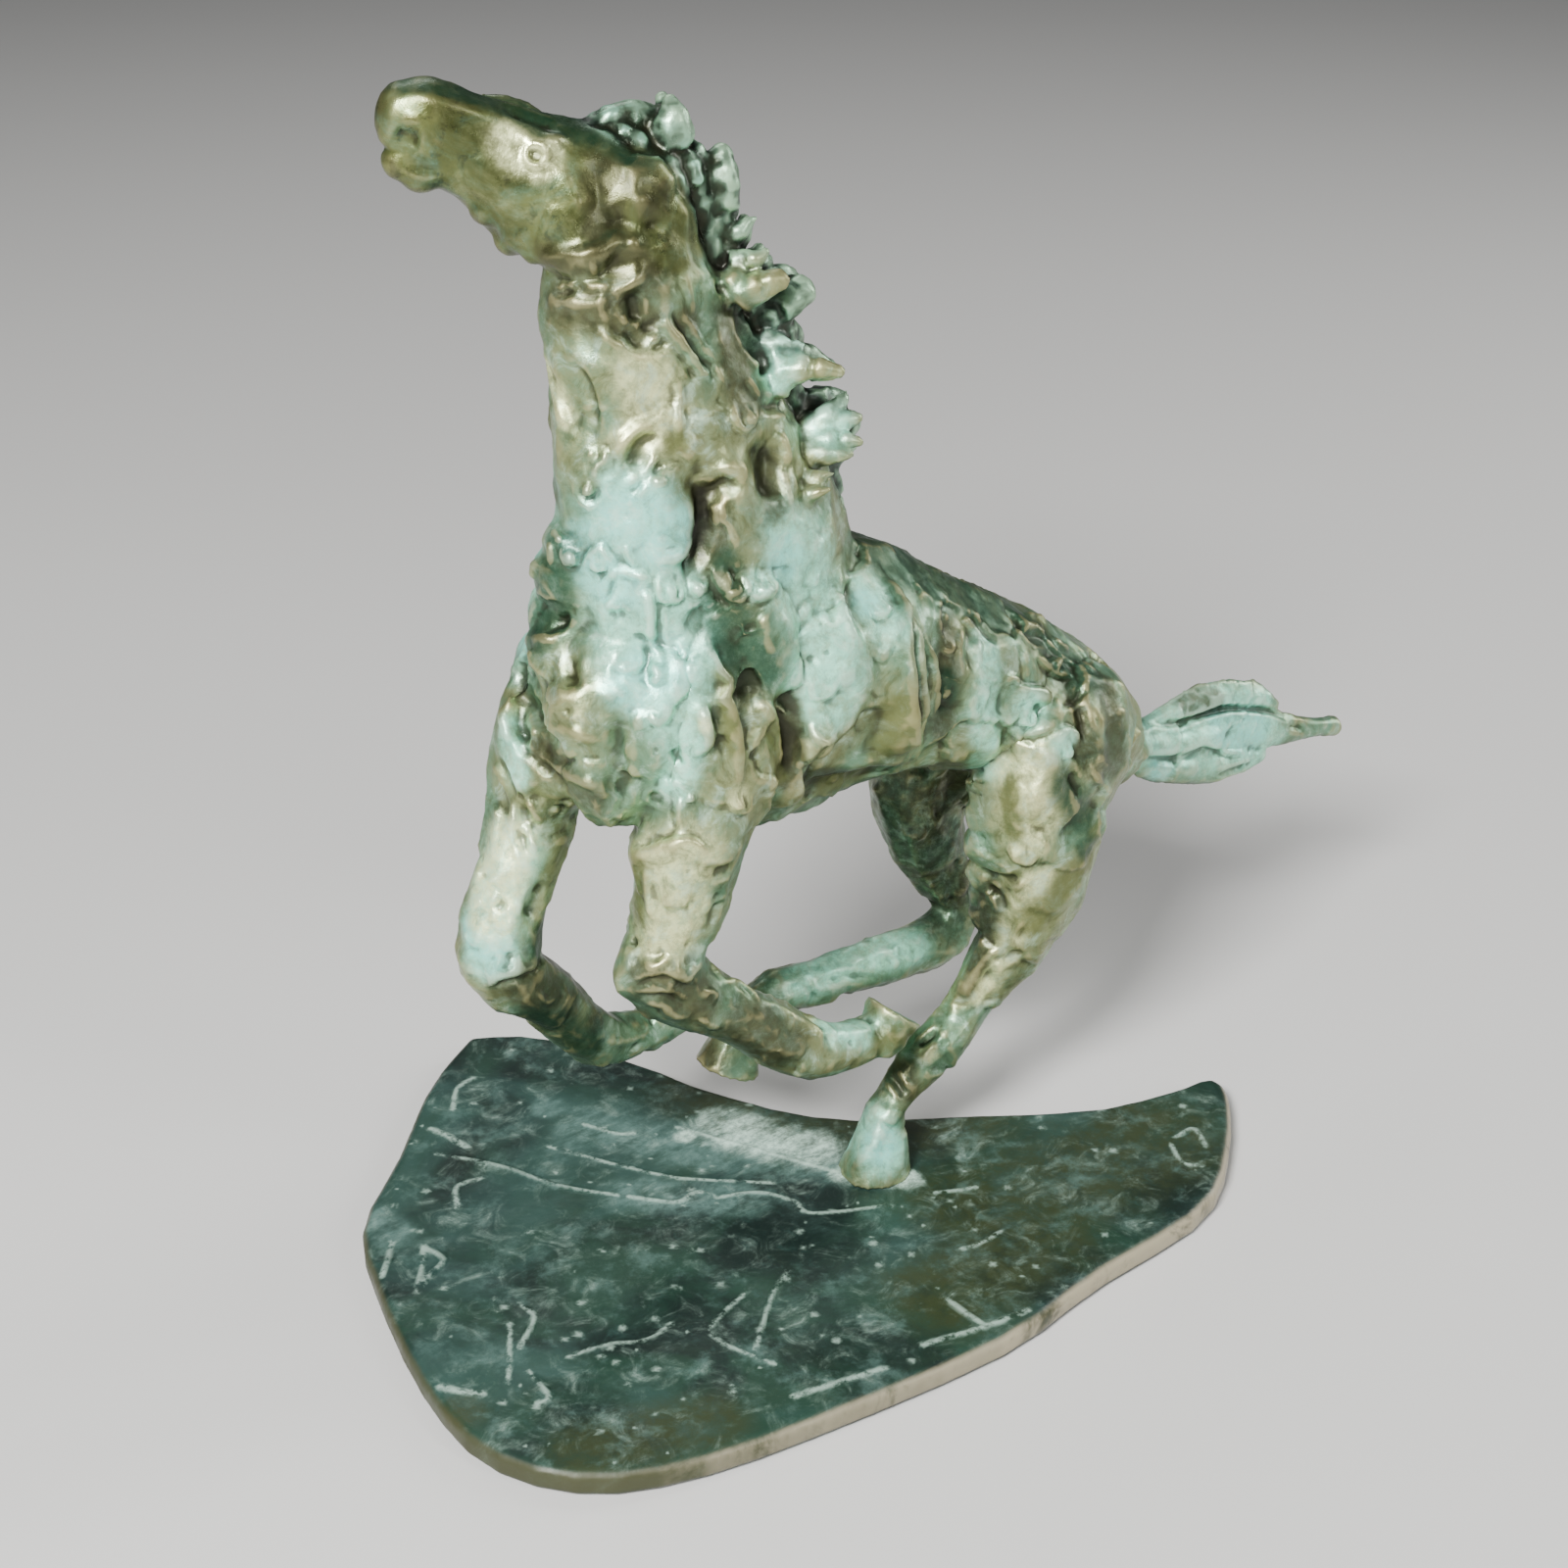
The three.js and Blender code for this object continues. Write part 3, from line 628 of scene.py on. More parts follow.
LEG_STROKES = [
    ("lip", 2.0, 1.2, "727,880 722,866 705,853 680,858 655,866 644,862"),  # head of the left forearm
    ("ridge", 1.3, 0.7, "661,878 660,905 664,928 682,944"),
    ("ridge", 1.1, 0.7, "657,979 667,984 678,979 684,972"),
    ("groove", 1.9, 1.0, "726,892 748,884 774,875"),
    ("groove", 1.6, 0.8, "734,905 731,925 722,952"),
    ("groove", 1.1, 0.7, "638,946 644,957 650,966"),
    ("lip", 2.0, 1.3, "643,1009 653,1001 664,995 682,994 698,1001 708,992 717,980"),  # left knee
    ("ridge", 1.7, 1.2, "654,1020 673,1023 687,1033 704,1038"),
    ("groove", 1.3, 0.7, "652,1014 680,1017 700,1030"),
    ("ridge", 1.4, 1.1, "744,984 760,988 772,1002 785,1019"),
    ("ridge", 1.3, 1.0, "738,1002 752,1004 766,1013 775,1025"),
    ("groove", 1.3, 0.8, "741,993 756,995 770,1007 780,1022"),
    ("ridge", 1.4, 0.9, "709,1037 720,1041 734,1050"),
    ("groove", 1.7, 0.9, "814,1030 834,1044 845,1058 846,1076"),
    ("ridge", 1.6, 1.0, "867,1008 876,1018 885,1025"),
    ("groove", 1.2, 0.9, "516,917 511,923 505,929"),
    ("groove", 2.8, 1.3, "557,897 545,925 536,943"),
    ("ridge", 2.0, 0.8, "467,972 477,985 489,997"),
    ("groove", 1.4, 0.9, "521,970 519,981 514,992"),
    ("lip", 2.2, 1.3, "491,1004 502,1005 518,996 548,984"),  # right knee
    ("ridge", 1.1, 0.6, "546,1011 557,1022 569,1018"),
    ("ridge", 1.4, 0.6, "612,1060 640,1062 666,1050"),
    ("groove", 1.5, 0.9, "1000,885 1015,893 1032,897 1046,889"),
    ("groove", 1.5, 0.9, "1008,904 1019,914 1028,932"),
    ("lip", 2.0, 1.3, "1025,862 1035,877 1050,882 1064,871"),  # foot of the thigh
    ("ridge", 2.6, 1.1, "1012,973 998,990 987,1006 974,1024"),
    ("groove", 1.7, 0.8, "1050,966 1028,976 1014,983 1005,995 995,1014"),
    ("ridge", 3.0, 0.9, "1033,989 1020,1003 1007,1019"),
    ("groove", 1.3, 0.8, "935,1071 948,1060 960,1051"),
    ("ridge", 2.6, 0.8, "956,1062 948,1074 940,1087"),
    ("groove", 1.3, 0.8, "909,1096 918,1110 926,1119"),
    ("ridge", 2.6, 0.8, "922,1131 904,1144 894,1162 882,1182 869,1196"),  # planted hoof
    ("ridge", 1.5, 0.7, "889,971 905,972 914,982 908,993"),
    ("groove", 1.3, 0.7, "838,1001 868,996 892,1000"),
    ("ridge", 1.3, 0.7, "1048,935 1038,948 1030,965"),
]

TAIL_STROKES = [
    ("lip", 2.2, 1.1, "1179,737 1201,735 1224,727 1248,721 1269,721 1290,722 1309,729"),
    ("groove", 1.1, 0.66, "1175,740 1203,738 1226,730 1250,724 1290,725 1311,732 1335,736"),
    ("lip", 2.2, 1.32, "1157,777 1170,769 1194,769 1215,764 1227,760 1241,764 1253,771 1284,771 1301,761"),
    ("groove", 1.2, 0.88, "1314,740 1333,743 1344,751"),
    ("ridge", 2.4, 0.77, "1170,783 1200,787 1226,784"),
    ("groove", 1.3, 0.77, "1238,792 1258,786 1281,778"),
]

# Drips, with their middle by pixel: (middle, length, width, lift), sizes in mm
DRIPS = [
    ((684, 599), 5.0, 3.4, 1.0), ((742, 592), 7.0, 4.6, 1.5), ((776, 596), 6.0, 4.4, 1.3),
    ((712, 596), 4.0, 2.8, 0.8), ((600, 497), 3.6, 2.8, 1.3), ((1048, 726), 7.0, 6.0, 1.2),
    ((1088, 762), 6.0, 5.0, 0.9), ((1076, 674), 4.2, 5.4, 1.0), ((894, 615), 8.0, 7.0, 1.0),
    ((838, 690), 12.0, 9.0, 0.8), ((640, 655), 14.0, 9.0, 0.9), ((690, 905), 13.0, 8.5, 0.9),
    ((515, 920), 14.0, 7.0, 0.8), ((755, 817), 4.4, 3.2, 1.0), ((705, 812), 3.0, 2.4, 0.8),
    ((760, 420), 6.0, 3.8, 0.9), ((582, 565), 4.0, 2.8, 0.9), ((611, 573), 5.0, 4.4, 0.9),
    ((966, 655), 5.6, 5.0, 0.8), ((964, 702), 5.0, 3.6, 0.8), ((595, 286), 5.0, 8.0, 0.6),
    ((980, 770), 6.0, 6.0, 0.7),
]

# Small round marks in the clay, by pixel: (middle, radius, height), sizes in mm, with pits below 0
BEADS = [
    ((770, 756), 3.0, 1.4), ((654, 736), 3.0, 1.3), ((646, 787), 2.4, 1.0), ((694, 667), 1.2, -0.7),
    ((670, 766), 1.2, -0.8), ((705, 764), 1.1, -0.6), ((578, 725), 1.6, -0.7), ((827, 672), 1.3, -0.8),
    ((844, 666), 1.2, -0.7), ((833, 594), 1.4, 0.8), ((822, 624), 2.2, 0.9), ((614, 587), 1.2, -0.6),
    ((647, 246), 1.5, 0.5), ((510, 924), 1.0, -0.6), ((701, 965), 1.3, -0.6), ((701, 890), 1.2, -0.5),
    ((868, 1064), 1.1, -0.7), ((630, 1060), 1.2, -0.8), ((604, 464), 1.5, 0.7), ((567, 826), 1.7, 1.2),
    ((630, 831), 1.6, 1.0), ((873, 557), 2.2, 0.9), ((965, 630), 1.5, 0.8),
    ((988, 625), 1.3, 0.7), ((936, 758), 2.2, 0.5), ((888, 773), 2.0, 0.8), ((850, 795), 1.8, 0.7),
    ((643, 514), 1.1, 0.5), ((651, 331), 1.4, 0.6), ((735, 293), 2.0, -1.6), ((761, 320), 1.8, -1.4),
    ((774, 337), 1.2, -0.8), ((988, 797), 1.5, 0.8), ((1106, 699), 1.0, 0.6), ((979, 879), 1.6, 0.9),
    ((951, 903), 1.6, 0.8), ((1112, 868), 1.6, 0.6),
]

# Broad swells, and hollows where the height is negative, by pixel: (middle, radius, height), sizes in mm
SWELLS = [
    ((516, 682), 10.0, -4.0), ((497, 825), 9.0, -2.6), ((499, 760), 8.0, -1.6), ((398, 160), 4.0, 1.0),
    ((998, 1035), 7.0, -2.0), ((1020, 1010), 7.0, -1.8), ((692, 872), 9.0, 1.8), ((640, 945), 6.0, -1.6),
    ((632, 990), 6.0, 1.4), ((655, 874), 6.0, 1.4), ((736, 862), 7.0, 1.4), ((591, 405), 6.0, -1.3),
    ((565, 612), 7.0, -1.2), ((770, 748), 6.0, -1.5), ((745, 445), 9.0, 0.8), ((900, 705), 12.0, 0.8),
    ((565, 208), 13.0, 2.0), ((648, 195), 7.0, 1.2),
]

# Raised rings, written like the round marks
RINGS = [((547, 158), 2.1, 1.1), ((670, 813), 2.2, 0.6), ((701, 928), 1.2, 0.4), ((833, 594), 1.6, 0.4)]

# Locks of the mane by pixel: (root, bend, tip, radius at the root and at the tip in mm)
TUFTS = [
    ((684, 138), (687, 118), (684, 101), 5.2, 1.5), ((650, 148), (640, 138), (628, 131), 3.4, 1.4),
    ((704, 185), (702, 168), (697, 155), 3.0, 1.4), ((733, 205), (738, 180), (736, 160), 4.6, 2.6),
    ((742, 245), (757, 233), (769, 222), 2.8, 0.6), ((750, 268), (770, 265), (781, 255), 3.2, 0.6),
    ((755, 300), (778, 290), (795, 285), 4.2, 2.0), ((780, 322), (800, 308), (816, 298), 5.4, 3.2),
    ((775, 355), (798, 351), (817, 354), 3.6, 1.0), ((795, 378), (825, 376), (856, 380), 4.6, 1.4),
    ((788, 396), (795, 389), (800, 384), 4.2, 3.0), ((822, 446), (845, 424), (862, 403), 4.6, 0.7),
    ((824, 450), (853, 432), (878, 426), 4.6, 0.8), ((824, 456), (853, 449), (878, 451), 4.4, 0.8),
    ((824, 464), (848, 464), (868, 464), 3.8, 0.8), ((824, 490), (837, 486), (848, 484), 2.4, 0.8),
    ((822, 505), (834, 502), (845, 500), 2.4, 0.8),
]

# Where the neck's top joins the cheek: its middle, how far it is smoothed in full and in part, and how much
CHEEK_PIXEL = (572, 226)
CHEEK_REACH = (6 * MM, 13 * MM)
CHEEK_ROUNDS = 80

# Clay added under the skin by pixel: (place, its radius and how far its middle lies behind the skin), in mm
LUMPS = [
    ((592, 556), 8, 8), ((588, 588), 9.5, 9.5), ((581, 628), 9.5, 9.5), ((573, 667), 9, 9),
    ((497, 210), 3.6, 3.4), ((522, 242), 3.4, 3.2), ((412, 164), 4.0, 4.0), ((430, 171), 5.0, 5.0),
    ((1014, 800), 6.5, 8), ((1013, 830), 6.5, 8), ((1011, 860), 6.5, 8), ((1012, 890), 6, 7.5),
    ((1011, 912), 5.5, 7), ((1009, 932), 5, 6.5),
]


def add_lumps(piece):
    """Fills out the neck's foot, the chin and the front of the left thigh."""
    surface = BVHTree.FromObject(piece, bpy.context.evaluated_depsgraph_get())
    mesh = bmesh.new()
    mesh.from_mesh(piece.data)
    for pixel, radius, behind in LUMPS:
        skin = seen_from_camera(surface, pixel)
        middle = skin + (skin - EYE).normalized() * behind * MM
        place = Matrix.Translation(middle)
        bmesh.ops.create_icosphere(mesh, subdivisions=3, radius=radius * MM, matrix=place)
    mesh.to_mesh(piece.data)
    mesh.free()


def add_mane(piece):
    """Adds the mane's locks: those that the photo shows, and like ones behind them."""
    surface = BVHTree.FromObject(piece, bpy.context.evaluated_depsgraph_get())
    for number, (root, bend, tip, thick, thin) in enumerate(TUFTS):
        start = seen_from_camera(surface, root)
        depth = (start - EYE).dot(-BACK)
        path = [start - 0.6 * thick * MM * (EYE - start).normalized()]
        path += [EYE + ray(bend) * depth, EYE + ray(tip) * depth]
        add_tuft(piece, smooth_path(path, 4), thick * MM, thin * MM)
        behind = Vector((0.35, 1, 0)) * (0.9 + 0.3 * (number % 3)) * thick * MM
        dip = Vector((0, 0, -(1 + number % 2) * MM))
        twin = smooth_path([place + behind + dip for place in path], 4)
        add_tuft(piece, twin, 0.85 * thick * MM, thin * MM)


def pixels(text):
    """A path written as x,y pairs."""
    return [tuple(int(number) for number in pair.split(",")) for pair in text.split()]


def on_skin(surface, path):
    """A pixel path as places on the skin; pixels that miss it are left out."""
    places = [seen_from_camera(surface, pixel) for pixel in path]
    return [place for place in places if place is not None]


def draw_strokes(clay, strokes, other_side):
    """Models named strokes, and where other_side is set, their like on the side that doesn't show."""
    surface = clay.surface()
    normals = clay.blurred(clay.normals(), 4)
    for form, width, height, path in strokes:
        places = on_skin(surface, pixels(path))
        if len(places) < 2:
            continue
        stroke(clay, normals, smooth_path(places), width * MM, height * MM, form)
        twins = [hidden_twin(surface, place) for place in places]
        if other_side and None not in twins:
            stroke(clay, normals, smooth_path(twins[::-1]), width * MM, height * MM, form)


def calm_cheek(clay):
    """Rounds off the join of the neck's top with the cheek."""
    for centre in on_skin(clay.surface(), [CHEEK_PIXEL]):
        away = np.linalg.norm(clay.points - np.array(centre), axis=1)
        share = 1 - smooth_step(*CHEEK_REACH, away)
        clay.points += share[:, None] * (clay.blurred(clay.points, CHEEK_ROUNDS) - clay.points)


def draw_swells(clay):
    """Models the broad swells and hollows."""
    surface = clay.surface()
    normals = clay.blurred(clay.normals(), 20)
    for pixel, radius, height in SWELLS:
        for centre in on_skin(surface, [pixel]):
            away = np.linalg.norm(clay.points - np.array(centre), axis=1) / (radius * MM)
            clay.points += (height * MM * np.exp(-(away**2)))[:, None] * normals


def draw_marks(clay):
    """Models the drips, beads, pits and rings."""
    surface = clay.surface()
    tree = clay.tree()
    normals = clay.blurred(clay.normals(), 5)
    for pixel, length, width, lift in DRIPS:
        for centre in on_skin(surface, [pixel]):
            out = Vector(normals[tree.find(centre)[1]]).normalized()
            down = Vector((0, 0, -1)) - out * out.dot(Vector((0, 0, -1)))
            size = (length / 2 * MM, width / 2 * MM)
            pad(clay, normals, tree, centre, out, down, size, lift * MM, DRIP_FLAT)
    for marks, hollow in ((BEADS, False), (RINGS, True)):
        for pixel, radius, height in marks:
            for centre in on_skin(surface, [pixel]):
                round_mark(clay, normals, tree, centre, radius * MM, MARK_DEPTH * height * MM, hollow)


def round_mark(clay, normals, tree, centre, radius, height, hollow):
    """A bead or pit, or a raised ring where hollow is set."""
    found = np.array([index for _, index, _ in tree.find_range(centre, 1.8 * radius)])
    away = np.linalg.norm(clay.points[found] - np.array(centre), axis=1) / radius
    bead = np.clip(1 - away**2, 0, 1) ** 1.5
    ring = np.exp(-(((away - 1) / 0.3) ** 2))
    shape = ring if hollow else bead
    clay.points[found] += (height * shape)[:, None] * normals[found]


def fractal(points, scale, octaves, seed):
    """Smooth noise from about -1 to 1 with features of about 1/scale metres."""
    shift = Vector((seed * 7.3, seed * 3.1, seed * 5.7))
    return np.array([noise.fractal(Vector(point) * scale + shift, 0.9, 2.1, octaves) for point in points])


def roughen(clay, mane, head):
    """The hand-worked surface: soft lumps, fine grain and a rough, craggy mane."""
    normals = clay.blurred(clay.normals(), 3)
    lumps = fractal(clay.points, 110, 3, 1)
    grain = fractal(clay.points, 420, 2, 2)
    crags = 1 - 2 * np.abs(fractal(clay.points, 95, 4, 3))
    calm = 1 - 0.88 * head
    height = calm * (0.28 * lumps + 0.07 * grain) * MM + mane * 0.3 * crags * MM
    clay.points += height[:, None] * normals


# How the clay is worked over the whole figure
FORM_ROUNDS = 3  # rounds of relaxing after the broad forms
CRISP_ROUNDS = 5  # how wide the relief is that is crisped at the end
CRISP_SHARE = 0.8
FACET_SEED = 11
FACET_SPACING = 11 * MM
FACET_FLAT = 0.6
FACET_MOST = 0.6 * MM
FACET_TILT = 0.1
DRIP_FLAT = 0.3
MARK_DEPTH = 0.6  # the share of a round mark's height that is drawn

# Dabs pressed on at random: (seed, how many, their lengths, how far they stand out, how flat they press)
PADS = [
    (3, 30, (7 * MM, 13 * MM), (0.3 * MM, 0.6 * MM), 0.3),
    (5, 60, (2.5 * MM, 6 * MM), (0.2 * MM, 0.45 * MM), 0.2),
]


def working_weight(places, head):
    """How strongly each place is worked: the head hardly at all, and the neck, legs and tail less."""
    legs = smooth_step(36, 24, places[:, 2]) * 0.2
    tail = smooth_step(31, 34, places[:, 0]) * 0.3
    neck = smooth_step(58, 66, places[:, 2]) * 0.5
    return np.clip(1 - 0.93 * head - legs - tail - neck * (1 - head), 0.05, 1)


def model_horse():
    """The cast figure: the CAD form rounded, then worked over with pads, folds, marks and crags."""
    piece = copied("horse")
    add_lumps(piece)
    add_mane(piece)
    remesh(piece, HORSE_VOXEL)
    clay = Clay(piece.data)
    sole = clay.points[:, 2].min()
    clay.relax(JOIN_ROUNDS)
    places = percent(clay.points)
    head, mane = head_mask(places), mane_mask(places)
    weight = working_weight(places, head)
    press_facets(clay, FACET_SEED, FACET_SPACING, FACET_FLAT, FACET_MOST, FACET_TILT, weight)
    calm_cheek(clay)
    draw_swells(clay)
    draw_strokes(clay, FORM_STROKES, other_side=True)
    clay.relax(FORM_ROUNDS)
    for pads in PADS:
        press_pads(clay, *pads, weight)
    for strokes in (CHEST_STROKES, SIDE_STROKES, NECK_STROKES, HEAD_STROKES):
        draw_strokes(clay, strokes, other_side=True)
    for strokes in (LEG_STROKES, TAIL_STROKES):
        draw_strokes(clay, strokes, other_side=False)
    draw_marks(clay)
    roughen(clay, mane, head)
    clay.sharpen(CRISP_ROUNDS, CRISP_SHARE)
    clay.relax(1)
    clay.points[:, 2] = np.maximum(clay.points[:, 2], sole)
    clay.write()
    thin_out(piece, HORSE_TRIANGLES)
    finish_skin(piece)
    return piece


# Tones of the patina, and one of painted shade: each with where it lies, as (reach in mm, one or more x,y
# pairs by pixel)

TONES = {
    "pale": [
        (11, "640,610 655,660 690,690"), (9, "690,610 700,660 690,720"), (11, "815,590 840,640 850,700"),
        (10, "640,520 655,545"), (8, "800,545 830,560"), (5, "1006,660 1006,720 1004,780"),
        (6, "885,605 905,640"), (6, "1048,726"), (5, "1088,760"), (10, "1180,752 1230,752 1290,755"),
        (5, "1200,722 1245,712 1290,716"), (8, "520,870 500,940 505,975"), (7, "885,1150 905,1175"),
        (6, "820,1000 870,975 930,965"), (4, "795,385"), (6, "845,435"), (4, "776,596"), (6, "800,350"),
        (5, "690,800 700,760"), (5, "850,1050 880,1050"), (4, "520,745 525,790"),
    ],
    "blue": [
        (9, "645,530 680,545"), (7, "600,560 630,600"), (7, "650,700 680,680"), (4, "885,615"),
        (6, "800,570"), (6, "488,950 498,975"), (7, "1250,740 1280,745"), (5, "900,1170"),
        (5, "1185,785"),
    ],
    "khaki": [
        (10, "600,330 640,350 660,400"), (9, "590,320 585,460"), (8, "745,470 760,540"),
        (9, "560,690 580,730"), (9, "860,745 900,720"), (8, "975,770 1000,800"), (9, "1045,800 1050,870"),
        (8, "1090,930"), (6, "785,790 770,840"), (8, "700,860 745,870"), (6, "750,350 745,420"),
        (4, "575,288 620,286"),
    ],
    "cream": [
        (7, "655,385 670,430"), (5, "525,145 550,160"), (9, "675,885 700,880 690,925 675,960"),
        (8, "1040,790 1050,850"), (5, "1060,900 1030,950 1000,1010"), (7, "520,860 500,930"),
        (3, "561,375 575,425"), (3, "632,450 655,438"), (3, "1120,790"), (3, "945,1075"), (3, "755,817"),
        (2, "720,740"),
    ],
    "gold": [
        (6, "925,725 905,760"), (3, "650,880 650,930"), (5, "850,795 880,785"),
        (5, "1105,885 1080,910 1050,940"), (3, "600,497"), (3, "1030,800 1034,850"),
        (3, "742,690 750,760"), (4, "925,1055 900,1065"), (3, "690,450"), (3, "790,745 795,790"),
        (4, "1120,850"),
    ],
    # Brown patina, and painted shadow in the bands under the jaw, on the neck below it and behind the cheek.
    "brown": [
        (6, "722,510 722,560"), (7, "745,330 760,400"), (6, "560,770 600,815"), (4, "802,720 803,790"),
        (6, "820,795 850,790"), (8, "670,1010 720,1020"),
        (8, "760,1045 800,1070"), (7, "530,1000 580,1030"), (6, "1125,780 1140,830"),
        (5, "965,640 962,740"), (5, "1015,910 1000,950"), (4, "920,1095 925,1112"),
        (5, "630,250 660,290"), (5, "700,330"), (6, "575,312 620,316 650,325"), (5, "640,180 665,200"),
        (4, "780,470 790,515"), (4, "558,470 565,500"), (4, "1240,712 1210,716"),
        (4, "1095,715 1110,760"), (5, "1125,700 1138,780"), (3, "1005,960 985,1010"),
        (3, "640,930 650,990"), (6, "722,1085"), (5, "612,180 617,235"), (4, "560,262 600,270 632,250"),
    ],
    "green": [
        (7, "735,628 750,650 772,685"), (6, "562,592 565,620 550,643"), (4, "742,575 745,598"),
        (5, "575,560"), (9, "890,560 960,595 1010,625"), (8, "1040,640 1100,685"), (4, "963,695 965,712"),
        (4, "1110,865"), (5, "800,300"), (5, "1085,800 1105,835"), (6, "590,880 565,925 550,960"),
        (6, "540,1040 600,1070"),
    ],
    # Painted shade: near black in creases and recesses and on the far thigh.
    "painted_shade": [
        (15, "925,820 945,870 968,905"), (4, "610,1040"), (2, "714,506 716,527 710,552"),
        (2, "754,325 776,368"), (1.4, "937,690 940,728"),
    ],
}


# Attributes that the patina reads: what stands out, what is sunk, how hemmed in each point is, and the tones


def store(mesh, name, values):
    layer = mesh.attributes.new(name, "FLOAT", "POINT")
    layer.data.foreach_set("value", values.astype(np.float32))


def tone_mask(points, surface, spots):
    """1 along each band of a tone and along its like on the other side, fading to 0."""
    mask = np.zeros(len(points))
    for reach, path in spots:
        places = on_skin(surface, pixels(path))
        twins = [hidden_twin(surface, place) for place in places]
        for band in (places, [twin for twin in twins if twin is not None]):
            if not band:
                continue
            band = np.array([*band, band[-1] + UP * 0.1 * MM])
            distance = along_path(points, band)[0]
            mask = np.maximum(mask, 1 - smooth_step(0.3 * reach * MM, 1.5 * reach * MM, distance))
    return mask


def finish_skin(piece):
    """Shades the skin smooth and notes where it is raised, sunk, hemmed in, head or mane, and its tones;
    hemmed-in places and one tone are painted shade.
    """
    clay = Clay(piece.data)
    surface = clay.surface()
    places = percent(clay.points)
    facing = clay.blurred(clay.normals(), 8)[:, 2]
    store(piece.data, "raised", clay.bulge(4) / (0.1 * MM))
    store(piece.data, "sunk", -clay.bulge(30) / (0.6 * MM))
    store(piece.data, "shade", clay.hemmed_in(9, 24 * MM))
    store(piece.data, "head", head_mask(places))
    store(piece.data, "mane", mane_mask(places))
    for tone, spots in TONES.items():
        mask = tone_mask(clay.points, surface, spots)
        if tone == "green":
            back = smooth_step(0.35, 0.8, facing) * smooth_step(-6, 0, places[:, 0])
            mask = np.maximum(mask, 0.9 * back * smooth_step(45, 52, places[:, 2]))
            # The head's top plane: dark green patina, partly a painted dark reflection.
            mask = np.maximum(mask, 0.85 * head_mask(places) * smooth_step(0.55, 0.8, facing))
        # Painted shade on the undersides, darker the more they face down.
        if tone == "painted_shade":
            mask = np.maximum(mask, 0.75 * smooth_step(0.35, 0.9, -facing))
        store(piece.data, tone, mask)
    piece.data.shade_smooth()


# Materials


class Shader:
    """A node material built by short calls."""

    def __init__(self, name):
        self.material = bpy.data.materials.new(name)
        self.material.use_nodes = True
        self.tree = self.material.node_tree
        self.surface = self.tree.nodes["Principled BSDF"]
        self.place = self.tree.nodes.new("ShaderNodeTexCoord").outputs["Object"]

    def put(self, socket, value):
        if isinstance(value, bpy.types.NodeSocket):
            self.tree.links.new(value, socket)
        else:
            socket.default_value = value

    def attribute(self, name):
        node = self.tree.nodes.new("ShaderNodeAttribute")
        node.attribute_name = name
        return node.outputs["Fac"]

    def noise(self, scale, detail=3.0, roughness=0.55, distortion=0.0, stretch=(1, 1, 1)):
        spread = self.tree.nodes.new("ShaderNodeMapping")
        self.put(spread.inputs["Vector"], self.place)
        self.put(spread.inputs["Scale"], stretch)
        node = self.tree.nodes.new("ShaderNodeTexNoise")
        self.put(node.inputs["Vector"], spread.outputs[0])
        self.put(node.inputs["Scale"], scale)
        self.put(node.inputs["Detail"], detail)
        self.put(node.inputs["Roughness"], roughness)
        self.put(node.inputs["Distortion"], distortion)
        return node.outputs["Fac"]

    def math(self, kind, *values):
        node = self.tree.nodes.new("ShaderNodeMath")
        node.operation = kind
        for socket, value in zip(node.inputs, values):
            self.put(socket, value)
        return node.outputs[0]

    def rise(self, value, low, high, top=1.0, bottom=0.0):
        """bottom below low, top above high, and smooth between."""
        node = self.tree.nodes.new("ShaderNodeMapRange")
        node.interpolation_type = "SMOOTHSTEP"
        self.put(node.inputs["Value"], value)
        for name, number in zip(("From Min", "From Max", "To Min", "To Max"), (low, high, bottom, top)):
            self.put(node.inputs[name], number)
        return node.outputs[0]

    def both(self, a, b):
        return self.math("MULTIPLY", a, b)

    def tone(self, name, scale, ragged=1.2, most=0.88, least=0.4):
        """A tone's mask with its edge broken up by noise, so that it looks grown and not painted."""
        level = self.math("SUBTRACT", self.attribute(name), ragged / 2)
        edge = self.math("MULTIPLY_ADD", self.noise(scale, 6, 0.7, 1.0), ragged, level)
        speckle = self.rise(self.noise(6 * scale, 7, 0.75), 0.36, 0.6, most, least)
        return self.both(self.rise(edge, -0.05, 1.0), speckle)

    def blend(self, share, under, over):
        node = self.tree.nodes.new("ShaderNodeMix")
        node.data_type = "RGBA"
        self.put(node.inputs[0], share)
        self.put(node.inputs[6], under)
        self.put(node.inputs[7], over)
        return node.outputs[2]

    def bump(self, height, distance, strength=1.0):
        node = self.tree.nodes.new("ShaderNodeBump")
        self.put(node.inputs["Height"], height)
        self.put(node.inputs["Distance"], distance)
        self.put(node.inputs["Strength"], strength)
        self.tree.links.new(node.outputs[0], self.surface.inputs["Normal"])

    def finish(self, colour, metallic, roughness, coat):
        self.put(self.surface.inputs["Base Color"], colour)
        self.put(self.surface.inputs["Metallic"], metallic)
        self.put(self.surface.inputs["Roughness"], roughness)
        self.put(self.surface.inputs["Coat Weight"], coat)
        self.surface.inputs["Coat Roughness"].default_value = 0.12
        return self.material


def tint(red, green, blue):
    """A colour given as it looks on screen, from 0 to 255."""
    return tuple(((c / 255 + 0.055) / 1.055) ** 2.4 for c in (red, green, blue)) + (1.0,)


